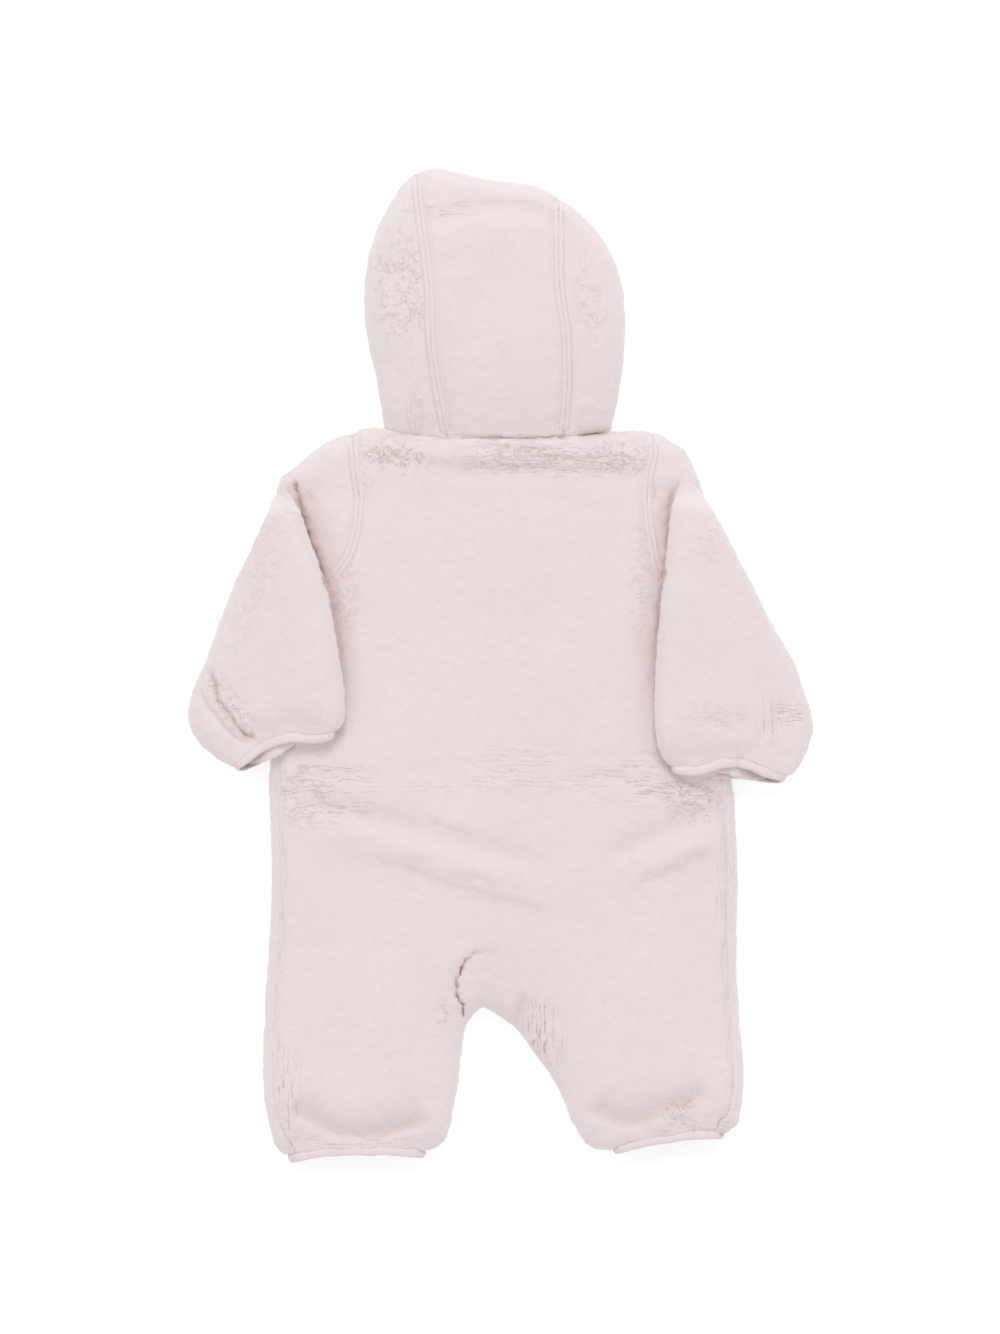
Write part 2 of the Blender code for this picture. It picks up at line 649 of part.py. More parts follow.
# ------------------------------------------------------------------ sleeves
def outline_between(side, count):
    """Return spots on the outline from the shoulder tip to the underarm, spaced as the armhole is."""
    rows = ARM_ROWS[side]
    line = [spot for spot in SIDE_LINE[side] if rows[0].y + 1e-6 >= spot.y >= rows[-1].y - 1e-6]
    lengths = [0.0]
    for first, second in zip(line, line[1:]):
        lengths.append(lengths[-1] + (second - first).length)
    seams = [0.0]
    for first, second in zip(rows, rows[1:]):
        seams.append(seams[-1] + math.hypot(second.x - first.x, second.y - first.y))
    found = []
    for index in range(count):
        target = seams[index] / seams[-1] * lengths[-1]
        k = max(i for i in range(len(lengths) - 1) if lengths[i] <= target + 1e-9)
        share = (target - lengths[k]) / (lengths[k + 1] - lengths[k])
        found.append(line[k].lerp(line[k + 1], share))
    return found


def make_sleeve_head(side):
    """Make the stretch of a sleeve that lies level with the body, open along the armhole."""
    edge = outline_between(side, ARM_COUNT)
    rows = []
    for index, arm in enumerate(ARM_ROWS[side]):
        outward = arm_outward(side, index) * HALF_GAP
        seam = Vector((arm.x, arm.y)) + outward
        rim = edge[index]
        if index in (0, ARM_COUNT - 1):
            row = [upper(rim + outward * 2)] * (len(HEAD_TOP) + len(HEAD_UNDER))
        else:
            row = [upper(seam.lerp(rim, share)) for share in HEAD_TOP]
            row += [under(seam.lerp(rim, share)) for share in HEAD_UNDER]
        rows.append(row if side == "right" else row[::-1])
    return cloth_object("sleeve_%s_head" % side, rows)


def body_inside(side, spot):
    """Return how far a spot lies inside the body's side, negative outside it."""
    line = SIDE_LINE[side]
    near = min(span_distance(spot, a, b) for a, b in zip(line, line[1:]))
    return near if abs(spot.x) < abs(x_on([s for s in line if s.y < 134], spot.y)) else -near


def sleeve_floor(side, spot):
    """Return the height that a folded sleeve's under layer lies at: the floor, or on the back."""
    inside = body_inside(side, spot)
    ramp = RAMP_TOP * max(0.0, min(1.0, (inside + RAMP_OUT) / (RAMP_OUT + RAMP_IN)))
    if inside <= 0:
        return ramp, inside
    return max(ramp, upper_height(spot, inside)[0] + LAYER_CLEAR), inside


def sleeve_ring(side, row, loft, lip):
    """Return one ring of a folded sleeve: along its under layer, then back along its upper one."""
    sign = SIGN[side]
    inner = Vector((sign * row.in_x, row.in_y))
    outer = Vector((sign * row.out_x, row.out_y))
    width = (outer - inner).length
    rounding = min(11.0, 0.42 * width)
    half = loft / 2

    def level(share, top):
        spot = inner.lerp(outer, share)
        probe = inner.lerp(outer, min(share, 1 - min(0.35, LEVEL_EDGE / width)))
        floor, inside = sleeve_floor(side, probe)
        rise, _ = round_off(min(share, 1 - share) * width / rounding)
        middle = floor + half
        if not top:
            spot = spot + Vector((0, -lip * math.sin(math.pi * share)))
            return Vector((spot.x, spot.y, middle - half * rise))
        raised = max(RAMP_TOP * ease((inside + 45) / 60), floor) + loft
        return Vector((spot.x, spot.y, middle + (raised - middle) * rise))

    ring = [level(0.0, True)]
    ring += [level(share, False) for share in TUBE_SPLIT]
    ring += [level(1.0, True)]
    ring += [level(share, True) for share in TUBE_SPLIT[::-1]]
    return ring if side == "left" else ring[::-1]


def make_sleeve(side):
    """Make the stretch of a sleeve that is folded down over the back, and its cuff binding."""
    table = SLEEVE_ROWS[side]
    last = len(table) - 1
    rings = []
    for index, row in enumerate(table):
        loft = SLEEVE_LOFT - SLEEVE_PINCH * ease(1 - index / 3)
        loft -= CUFF_PINCH * ease((index - last + 4) / 4)
        lip = CUFF_LIP * ease((index - last + 4) / 4)
        rings.append(sleeve_ring(side, row, loft, lip))
    end = rings[-1]
    narrow = centre_of(end)
    start_band = [place + Vector((0, -SEAM_GAP, 0)) for place in end]
    end_band = []
    for place in end:
        drawn = place.lerp(narrow, CUFF_DRAW)
        end_band.append(Vector((drawn.x, drawn.y - BINDING_WIDTH, drawn.z)))
    full = with_directions(rings + [start_band, end_band])
    for index in range(len(rings) - 1, len(full)):
        full[index] = [square_to(pair, Vector((0, 1, 0))) for pair in full[index]]
    full[-2] = [(place, facing) for (place, _), (_, facing) in zip(full[-2], full[-3])]
    cloth_object("sleeve_" + side, full[:len(rings)], ring=True, closed_start=True)
    band = full[len(rings):]
    cloth_object("cuff_%s_binding" % side, band, finish="binding", thick=BINDING_CLOTH, ring=True)


def centre_of(ring):
    """Return the middle of a ring of points."""
    total = Vector((0, 0, 0))
    for place in ring:
        total += place
    return total / len(ring)


# ------------------------------------------------------------------ hems
def make_hem(side):
    """Make the binding round the end of one leg."""
    start = inner_spot(side, HEM_ROW[side].inner)
    end = side_spot(side, HEM_ROW[side].outer)
    onward = hem_onward(side)
    shares = [spread(FRONT_COLUMNS, k, 1.0) for k in range(FRONT_COLUMNS + 1)]
    places = [(share, under) for share in shares[:-1]] + [(share, upper) for share in shares[:0:-1]]
    rows = []
    for drop, draw in ((SEAM_GAP, 0.0), (BINDING_WIDTH, HEM_DRAW)):
        ring = []
        for share, surface in places:
            place, facing = square_to(surface(start.lerp(end, share)), onward)
            drawn = (end - start) * (0.5 - share) * draw
            ring.append((place + onward * drop + Vector((drawn.x, drawn.y, 0)), facing))
        rows.append(ring if side == "left" else ring[::-1])
    return cloth_object("hem_%s_binding" % side, rows, "binding", BINDING_CLOTH, ring=True)


# ------------------------------------------------------------------ hood
def hood_outline_spots(side, count):
    """Return spots on the hood's outline from the neck corner to the crown seam."""
    rows = HOOD_ROWS[side]
    crown = Vector((rows[-1].seam_x, rows[-1].seam_y))
    line = HOOD_LINE if side == "left" else HOOD_LINE[::-1]
    stop = min(range(len(line)), key=lambda i: (line[i] - crown).length)
    line = line[:stop] + [crown]
    lengths = [0.0]
    for first, second in zip(line, line[1:]):
        lengths.append(lengths[-1] + (second - first).length)
    seams = [0.0]
    for first, second in zip(rows, rows[1:]):
        seams.append(seams[-1] + math.hypot(second.seam_x - first.seam_x, second.seam_y - first.seam_y))
    found = []
    for index in range(count):
        target = seams[index] / seams[-1] * lengths[-1]
        k = max(i for i in range(len(lengths) - 1) if lengths[i] <= target + 1e-9)
        share = (target - lengths[k]) / (lengths[k + 1] - lengths[k])
        found.append(line[k].lerp(line[k + 1], share))
    return found


def make_hood_side(side):
    """Make one side strip of the hood, from the centre strip's seam round to the face opening."""
    table = HOOD_ROWS[side]
    edge = hood_outline_spots(side, len(table))
    sign = SIGN[side]
    rows = []
    for index, row in enumerate(table):
        seam = Vector((row.seam_x + sign * HALF_GAP, row.seam_y))
        face = Vector((row.face_x + sign * HALF_GAP, row.face_y))
        rim = edge[index]
        if index == len(table) - 1:
            tip = upper(rim + Vector((sign * SEAM_GAP, -SEAM_GAP * 0.3)))
            made = [tip] * (len(HOOD_TOP) + len(HOOD_UNDER))
        else:
            made = []
            for share in HOOD_TOP:
                spot = seam.lerp(rim, share)
                if index == 0:
                    spot.y = neck_line(spot.x) if share < 1 else spot.y
                made.append(upper(spot))
            for share in HOOD_UNDER:
                spot = face.lerp(rim, share)
                if index == 0:
                    spot.y = front_neck_line(spot.x)
                made.append(under(spot))
            if index == 0:
                made = [set_gap(pair, (0, NECK_GAP / 2, 0)) for pair in made]
        rows.append(made[::-1] if side == "right" else made)
    return cloth_object("hood_" + side, rows)


def make_hood_centre():
    """Make the centre strip, from the back of the neck over the crown to the face opening."""
    left, right = LEFT_HOOD, RIGHT_HOOD
    last = len(left) - 1
    crown_left = Vector((left[-1].seam_x, left[-1].seam_y))
    crown_right = Vector((right[-1].seam_x, right[-1].seam_y))
    start = min(range(len(HOOD_LINE)), key=lambda i: (HOOD_LINE[i] - crown_left).length)
    stop = min(range(len(HOOD_LINE)), key=lambda i: (HOOD_LINE[i] - crown_right).length)
    crown = HOOD_LINE[start:stop + 1]

    def bulge(share):
        x = crown_left.x + (crown_right.x - crown_left.x) * share
        for first, second in zip(crown, crown[1:]):
            if first.x <= x <= second.x:
                y = first.y + (second.y - first.y) * (x - first.x) / (second.x - first.x)
                return y - (crown_left.y + (crown_right.y - crown_left.y) * share)
        return 0.0

    def strip_row(first, second, weight, surface, at_neck=False):
        row = []
        inner_first = first + Vector((HALF_GAP, 0))
        inner_second = second - Vector((HALF_GAP, 0))
        for k in range(STRIP_COLUMNS + 1):
            share = k / STRIP_COLUMNS
            spot = inner_first.lerp(inner_second, share)
            spot.y += bulge(share) * weight
            if at_neck:
                spot.y = neck_line(spot.x) + NECK_GAP / 2
            row.append(surface(spot))
        return row

    rows = []
    for index in range(last + 1):
        first = Vector((left[index].seam_x, left[index].seam_y))
        second = Vector((right[index].seam_x, right[index].seam_y))
        weight = ease(1 - (last - index) / 9)
        rows.append(strip_row(first, second, weight, upper, index == 0))
    for index in range(last - 1, FACE_TOP_ROW - 1, -1):
        first = Vector((left[index].face_x, left[index].face_y))
        second = Vector((right[index].face_x, right[index].face_y))
        weight = ease(1 - (last - index) / 9)
        rows.append(strip_row(first, second, weight, under))
    return cloth_object("hood_centre", [row[::-1] for row in rows])


def make_hood_binding():
    """Make the binding round the face opening, from one side of the zip to the other."""
    left = [Vector((row.face_x, row.face_y)) for row in LEFT_HOOD[:FACE_TOP_ROW + 1]]
    right = [Vector((row.face_x, row.face_y)) for row in RIGHT_HOOD[:FACE_TOP_ROW + 1]]
    edge = left + [left[-1].lerp(right[-1], 0.35), left[-1].lerp(right[-1], 0.7)] + right[::-1]
    rows = []
    for index, spot in enumerate(edge):
        before = edge[max(index - 1, 0)]
        after = edge[min(index + 1, len(edge) - 1)]
        along = (after - before).normalized()
        inward = Vector((along.y, -along.x))
        if index in (0, len(edge) - 1):
            inward = Vector((1.0 if index == 0 else -1.0, 0.9)).normalized()
        near = spot + inward * (SEAM_GAP + 0.25)
        far = spot + inward * BINDING_WIDTH
        facing = Vector((0, 0, -1))
        rows.append([(Vector((near.x, near.y, 0)), facing), (Vector((far.x, far.y, 0)), facing)])
    return cloth_object("hood_binding", rows, "binding", BINDING_CLOTH)


# ------------------------------------------------------------------ zip
def flat_plate(name, corners, low, high, finish):
    """Make a plate with the given corners in plan between two heights."""
    shape = bmesh.new()
    base = shape.faces.new([shape.verts.new((x, y, low)) for x, y in corners])
    lifted = bmesh.ops.extrude_face_region(shape, geom=[base])
    moved = [item for item in lifted["geom"] if isinstance(item, bmesh.types.BMVert)]
    bmesh.ops.translate(shape, vec=(0, 0, high - low), verts=moved)
    bmesh.ops.triangulate(shape, faces=shape.faces[:])
    bmesh.ops.recalc_face_normals(shape, faces=shape.faces[:])
    return mesh_object(name, shape, finish, smooth=False)


def make_tape(side):
    """Make one side of the zip: its tape with half of the closed coil, notched for the slider."""
    sign = SIGN[side]
    notch_top = SLIDER.y - SLIDER.half_length - SEAM_GAP
    coil = CENTRE_X + sign * TAPE.inner
    clear = CENTRE_X + sign * (SLIDER.half_width + SEAM_GAP)
    outer = CENTRE_X + sign * TAPE.outer
    low, high = ZIP_END + SEAM_GAP, ZIP_TOP - 3
    corners = ((coil, low), (coil, notch_top), (clear, notch_top), (clear, high), (outer, high),
               (outer, low))
    return flat_plate("zip_tape_" + side, corners, TAPE.low, TAPE.high, "zip_tape")


def box_between(name, low, high):
    """Make a box between two corners, as a helper to be joined into another piece."""
    shape = bmesh.new()
    bmesh.ops.create_cube(shape, size=1.0)
    size = [b - a for a, b in zip(low, high)]
    middle = [(a + b) / 2 for a, b in zip(low, high)]
    bmesh.ops.scale(shape, vec=size, verts=shape.verts)
    bmesh.ops.translate(shape, vec=middle, verts=shape.verts)
    return mesh_object(name, shape, "zip_metal", smooth=False)


def cross_cylinder(name, radius, half_length, y, z, sides):
    """Make a cylinder along X, as a helper to be joined or cut."""
    shape = bmesh.new()
    bmesh.ops.create_cone(shape, cap_ends=True, segments=sides, radius1=radius, radius2=radius,
                          depth=half_length * 2)
    bmesh.ops.rotate(shape, matrix=TURN_TO_X, verts=shape.verts)
    bmesh.ops.translate(shape, vec=(CENTRE_X, y, z), verts=shape.verts)
    return mesh_object(name, shape, "zip_metal", smooth=False)


TURN_TO_X = Vector((0, 0, 1)).rotation_difference(Vector((1, 0, 0))).to_matrix()


def combine(piece, helper, operation):
    """Join a helper to a piece, or cut it away, and keep the helper among the cutters."""
    bpy.data.collections[SHELL].objects.unlink(helper)
    bpy.data.collections["cutters"].objects.link(helper)
    helper.hide_render = True
    helper.display_type = "WIRE"
    step = piece.modifiers.new(helper.name, "BOOLEAN")
    step.operation = operation
    step.object = helper


def make_slider():
    """Make the zip's slider: its body, two ears and the pin that the pull turns on."""
    x, y = CENTRE_X, SLIDER.y
    body = box_between("zip_slider", (x - SLIDER.half_width, y - SLIDER.half_length, SLIDER.low),
                       (x + SLIDER.half_width, y + SLIDER.half_length, SLIDER.high))
    for side in ("left", "right"):
        spans = sorted((x + SIGN[side] * EAR.inner, x + SIGN[side] * EAR.outer))
        ear = box_between("ear_" + side, (spans[0], y - EAR.half_length, EAR.low),
                          (spans[1], y + EAR.half_length, SLIDER.low + 0.4))
        combine(body, ear, "UNION")
    pin = cross_cylinder("pin", PIN.radius, EAR.inner + 0.3, y, PIN.z, 12)
    combine(body, pin, "UNION")


def make_pull():
    """Make the pull: a round end on the slider's pin and a flat tab towards the hems."""
    x, y = CENTRE_X, SLIDER.y
    pull = cross_cylinder("zip_pull", PULL.barrel, PULL.half_neck, y, PIN.z, 20)
    half = PULL.thick / 2
    wide_from = y - EAR.half_length - 1.2
    neck = box_between("pull_neck", (x - PULL.half_neck + 0.1, wide_from - 1.0, PIN.z - half),
                       (x + PULL.half_neck - 0.1, y - 0.2, PIN.z + half))
    combine(pull, neck, "UNION")
    tab = box_between("pull_tab", (x - PULL.half_width, y - PULL.length, PIN.z - half),
                      (x + PULL.half_width, wide_from, PIN.z + half))
    combine(pull, tab, "UNION")
    hole = cross_cylinder("pull_hole", PULL.hole, PULL.half_neck + 1, y, PIN.z, 16)
    combine(pull, hole, "DIFFERENCE")
    pull_origin(pull, Vector((x, y, PIN.z)) * MM)


def pull_origin(piece, place):
    """Put a piece's origin on its joint's axis without moving its shape."""
    for vertex in piece.data.vertices:
        vertex.co -= place
    piece.location = place


# ------------------------------------------------------------------ the suit
def main():
    """Clear the scene and build the suit."""
    for piece in list(bpy.data.objects):
        bpy.data.objects.remove(piece)
    for name in (SHELL, "cutters"):
        group = bpy.data.collections.new(name)
        bpy.context.scene.collection.children.link(group)
    make_back()
    for side in ("left", "right"):
        make_front(side)
        make_sleeve_head(side)
        make_sleeve(side)
        make_hem(side)
        make_hood_side(side)
        make_tape(side)
    make_hood_centre()
    make_hood_binding()
    make_slider()
    make_pull()


main()
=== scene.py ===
"""Looks of a baby's hooded suit of pile fleece, laid flat on its front.

Every soft solid of the frame is replaced by a fine skin of cloth grown on its form, with the
folds, crinkles, pressed seams and pile that the cloth shows.  Twin-needle seams, the zip's tapes
and coil, and the stitches are meshes of their own.  Sizes in the classes are millimetres; meshes
are made in metres, in the frame's own axes: +Z up through the back, +Y towards the hood, +X
towards the suit's right side.
"""
from __future__ import annotations

import logging
import math
from dataclasses import dataclass, field
from enum import Enum
from typing import Iterable, Iterator, Sequence

import bmesh
import bpy
import numpy as np
from mathutils import Euler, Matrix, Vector, noise
from mathutils.bvhtree import BVHTree


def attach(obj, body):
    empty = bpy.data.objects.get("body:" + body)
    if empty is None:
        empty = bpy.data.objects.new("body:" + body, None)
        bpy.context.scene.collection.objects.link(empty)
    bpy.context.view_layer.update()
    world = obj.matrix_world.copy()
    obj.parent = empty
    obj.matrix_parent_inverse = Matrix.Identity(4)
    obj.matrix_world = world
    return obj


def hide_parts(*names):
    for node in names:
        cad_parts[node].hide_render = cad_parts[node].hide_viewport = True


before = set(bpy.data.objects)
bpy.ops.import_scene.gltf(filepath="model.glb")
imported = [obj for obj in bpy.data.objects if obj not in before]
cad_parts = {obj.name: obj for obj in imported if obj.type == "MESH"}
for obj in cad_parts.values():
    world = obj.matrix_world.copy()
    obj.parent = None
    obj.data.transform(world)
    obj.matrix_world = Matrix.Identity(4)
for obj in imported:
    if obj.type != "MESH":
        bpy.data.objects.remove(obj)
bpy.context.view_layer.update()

LOG = logging.getLogger("fleece_suit")
MM = 0.001
SUIT_BODY = "suit"
UP, DOWN = Vector((0.0, 0.0, 1.0)), Vector((0.0, 0.0, -1.0))
OVERHEAD = 200.0        # a ray that looks down on the suit starts this high
FLOOR = 0.05            # nothing reaches lower than this
Plan = tuple[float, float]
Colour = tuple[float, float, float]
Faces = list[tuple[int, ...]]
Socket = bpy.types.NodeSocket


# ------------------------------------------------------------------ plan curves and fields
def smooth_line(spots: Sequence[Plan], step: float) -> np.ndarray:
    """Draw a smooth curve through spots in plan.

    Args:
        spots: The spots that the curve passes through, in millimetres.
        step: The distance between the points returned, in millimetres.

    Returns:
        An array of points, one row each, evenly spaced along the curve.
    """
    given = np.array(spots, float)
    padded = np.vstack([given[0] * 2 - given[1], given, given[-1] * 2 - given[-2]])
    fine = []
    for index in range(1, len(padded) - 2):
        before, start, end, after = padded[index - 1:index + 3]
        for share in np.linspace(0.0, 1.0, 16, endpoint=False):
            square, cube = share * share, share * share * share
            fine.append(0.5 * (2 * start + (end - before) * share
                               + (2 * before - 5 * start + 4 * end - after) * square
                               + (3 * start - before - 3 * end + after) * cube))
    fine.append(given[-1])
    fine = np.array(fine)
    lengths = np.concatenate([[0.0], np.cumsum(np.linalg.norm(np.diff(fine, axis=0), axis=1))])
    count = max(2, int(round(lengths[-1] / step)) + 1)
    wanted = np.linspace(0.0, lengths[-1], count)
    return np.column_stack([np.interp(wanted, lengths, fine[:, k]) for k in (0, 1)])


def to_line(places: np.ndarray, line: np.ndarray) -> tuple[np.ndarray, np.ndarray]:
    """Measure points in plan against a line.

    Args:
        places: Points, one row each, of which x and y are read.
        line: The line's points, one row each.

    Returns:
        The signed distance of each point, positive on the line's left, and its share of the way
        along the line.
    """
    start, span = line[:-1], np.diff(line, axis=0)
    length = np.linalg.norm(span, axis=1)
    before = np.concatenate([[0.0], np.cumsum(length)[:-1]])
    best = np.full(len(places), 1e9)
    signed = np.full(len(places), 1e9)
    share = np.zeros(len(places))
    for origin, along, size, passed in zip(start, span, length, before):
        away = places[:, :2] - origin
        part = np.clip((away @ along) / (size * size), 0.0, 1.0)
        gap = away - part[:, None] * along
        distance = np.hypot(gap[:, 0], gap[:, 1])
        nearer = distance < best
        best[nearer] = distance[nearer]
        side = along[0] * away[:, 1] - along[1] * away[:, 0]
        signed[nearer] = np.where(side[nearer] >= 0, distance[nearer], -distance[nearer])
        share[nearer] = (passed + part[nearer] * size) / length.sum()
    return signed, share


def near_line(places: np.ndarray, line: np.ndarray, reach: float) -> np.ndarray:
    """Return which points lie in a line's box in plan, grown by the reach on every side."""
    low, high = line.min(0) - reach, line.max(0) + reach
    return np.all((places[:, :2] > low) & (places[:, :2] < high), axis=1)


def ease(share: np.ndarray | float) -> np.ndarray | float:
    """Return a smooth step from 0 to 1."""
    share = np.clip(share, 0.0, 1.0)
    return share * share * (3 - 2 * share)


# turns the pile's noise, so that its lumps don't line up with straight edges
ASKEW = np.array(Euler((0.5, 0.7, 0.4)).to_matrix())


def noise_at(places: np.ndarray, size: Sequence[float] | float, shift: float) -> np.ndarray:
    """Return smooth noise at points.

    Args:
        places: Points in millimetres, one row each.
        size: The size of the noise's lumps, in millimetres, for all axes or for each.
        shift: A number that gives each use a noise of its own.

    Returns:
        A value from about -1 to 1 for each point.
    """
    scaled = (places / np.asarray(size) + shift).tolist()
    return np.fromiter(map(noise.noise, scaled), float, len(scaled))


class Run(Enum):
    """The direction in which a patch of crinkled pile runs, with the size of its lumps."""

    ACROSS = (8.0, 2.9, 6.0)
    LONG = (13.0, 3.6, 7.0)
    DOWN = (3.0, 15.0, 6.0)
    CURL = (4.4, 3.9, 4.4)

    def field(self) -> str:
        """Return the name of the field that says where the pile is crinkled so."""
        return "crinkle_" + self.name.lower()


@dataclass(frozen=True)
class Crease:
    """A fold of the cloth along a line in plan: a ridge where it rises, a trough where it sinks.

    The width to the left and to the right of the line's direction differ where one flank of the
    fold is steeper, and the fold fades over a share of its length at each end.  Shade is painted
    into a tight crease, where the pile parts: deep is how strongly the fleece turns to its painted
    shade colour there, and jag is how far the pile's clumps make the crease wander.  Cloth that
    lies higher than below isn't bent.
    """

    line: tuple[Plan, ...]
    rise: float
    left: float
    right: float
    fade: tuple[float, float] = (0.2, 0.2)
    deep: float = 0.0
    jag: float = 0.0
    below: float = 99.0

    REACH = 2.6         # beyond this many widths the fold isn't felt
    RUN_OUT = 1.5       # over this height it stops being felt at its upper limit

    def felt(self, places: np.ndarray) -> np.ndarray:
        """Measure how strongly points feel the fold.

        Args:
            places: The points, one row each.

        Returns:
            A value from 0 to 1 for each point.
        """
        felt = np.zeros(len(places))
        line = smooth_line(self.line, 5.0)
        near = np.flatnonzero(near_line(places, line, self.REACH * max(self.left, self.right))
                              & (places[:, 2] < self.below + self.RUN_OUT))
        if not len(near):
            return felt
        signed, share = to_line(places[near], line)
        if self.jag:
            flat = places[near] * (1.0, 1.0, 0.3)
            signed = signed + self.jag * (noise_at(flat, 5.0, 31.0)
                                          + 0.7 * noise_at(flat, 2.6, 37.0))
        width = np.where(signed > 0, self.left, self.right)
        start, end = self.fade
        faded = 1 - ease((places[near, 2] - self.below) / self.RUN_OUT)
        if start > 0:
            faded *= ease(share / start)
        if end > 0:
            faded *= ease((1 - share) / end)
        felt[near] = faded * np.exp(-(signed / width) ** 2)
        return felt


@dataclass(frozen=True)
class Patch:
    """An oval patch of crinkled pile, turned by an angle in degrees."""

    centre: Plan
    radii: Plan
    strength: float
    run: Run
    turn: float = 0.0

    def mask(self, places: np.ndarray) -> np.ndarray:
        """Measure how strongly the patch is felt.

        Args:
            places: The points, one row each.

        Returns:
            A value from 0 to the patch's strength for each point.
        """
        angle = math.radians(self.turn)
        away = places[:, :2] - np.array(self.centre)
        along = (away[:, 0] * math.cos(angle) + away[:, 1] * math.sin(angle)) / self.radii[0]
        across = (away[:, 1] * math.cos(angle) - away[:, 0] * math.sin(angle)) / self.radii[1]
        return self.strength * ease(1.6 - 1.15 * np.hypot(along, across))


# ------------------------------------------------------------------ finishes
def scale_of(size: float) -> float:
    """Return the scale of a texture whose lumps are of a size in millimetres."""
    return 1.0 / (size * MM)


class NodeSheet:
    """A material's node tree, with short calls to add and join nodes."""

    def __init__(self, name: str) -> None:
        """Start a material of the given name.

        Args:
            name: The material's name.
        """
        self.material = bpy.data.materials.new(name)
        self.material.use_nodes = True
        self.tree = self.material.node_tree
        self.shader = self.tree.nodes["Principled BSDF"]

    def add(self, kind: str, inputs: dict | None = None, **settings) -> bpy.types.Node:
        """Add a node.

        Args:
            kind: The node's type, without its ShaderNode prefix.
            inputs: Values or sockets for its inputs, by name or number.
            settings: Attributes to set on the node.

        Returns:
            The node.
        """
        node = self.tree.nodes.new("ShaderNode" + kind)
        for name, value in settings.items():
            setattr(node, name, value)
        for name, value in (inputs or {}).items():
            if isinstance(value, Socket):
                self.tree.links.new(value, node.inputs[name])
            else:
                node.inputs[name].default_value = value
        return node

    def place(self) -> Socket:
        """Return the coordinates of the frame, in metres."""
        return self.add("TexCoord").outputs["Object"]

    def field(self, name: str) -> Socket:
        """Return a number that the mesh holds for each of its points."""
        return self.add("Attribute", attribute_name=name).outputs["Fac"]

    def noise(self, place: Socket, scale: float, detail: float = 2.0,
              distortion: float = 0.0) -> Socket:
        """Return smooth noise from 0 to 1."""
        return self.add("TexNoise", {"Vector": place, "Scale": scale, "Detail": detail,
                                     "Distortion": distortion}).outputs[0]

    def math(self, operation: str, *values) -> Socket:
        """Add a math node on sockets or numbers and return its output."""
        return self.add("Math", dict(enumerate(values)), operation=operation).outputs[0]

    def total(self, start: Socket | float, *terms: tuple[Socket, float]) -> Socket:
        """Add up sockets, each times its weight.

        Args:
            start: A socket or a number to start from.
            terms: The sockets with their weights.

        Returns:
            The sum.
        """
        for socket, weight in terms:
            start = self.math("MULTIPLY_ADD", socket, weight, start)
        return start

    def blend(self, factor: Socket, first: Socket | Colour, second: Socket | Colour) -> Socket:
        """Mix two colours.

        Args:
            factor: The share of the second colour.
            first: The first colour, or a socket that gives it.
            second: The second colour, or a socket that gives it.

        Returns:
            The mixed colour.
        """
        ends = {name: end if isinstance(end, Socket) else (*end, 1.0)
                for name, end in (("A", first), ("B", second))}
        return self.add("Mix", {"Factor": factor, **ends}, data_type="RGBA",
                        clamp_factor=True).outputs["Result"]

    def mottle(self, factor: Socket, colour: Colour, share: float) -> Socket:
        """Let a colour vary in brightness.

        Args:
            factor: A socket that is 1 where the colour is at its full brightness.
            colour: The colour.
            share: The share of its brightness where the factor is 0.

        Returns:
            The mottled colour.
        """
        ramp = self.add("ValToRGB", {"Fac": factor})
        ramp.color_ramp.elements[0].color = (*(part * share for part in colour), 1.0)
        ramp.color_ramp.elements[1].color = (*colour, 1.0)
        return ramp.outputs[0]

    def bump(self, height: Socket, strength: float, distance: float) -> None:
        """Raise the surface in the shader's eyes.

        Args:
            height: The height, from 0 to about 1.
            strength: How strongly it shows.
            distance: What a height of 1 stands for, in millimetres.
        """
        bump = self.add("Bump", {"Height": height, "Strength": strength,
                                 "Distance": distance * MM})
        self.link(bump.outputs[0], "Normal")

    def set(self, **values) -> None:
        """Set numbers and colours on the shader's own sockets; underscores stand for spaces."""
        for name, value in values.items():
            self.shader.inputs[name.replace("_", " ")].default_value = value

    def link(self, socket: Socket, name: str) -> None:
        """Join a socket to one of the shader's inputs."""
        self.tree.links.new(socket, self.shader.inputs[name])


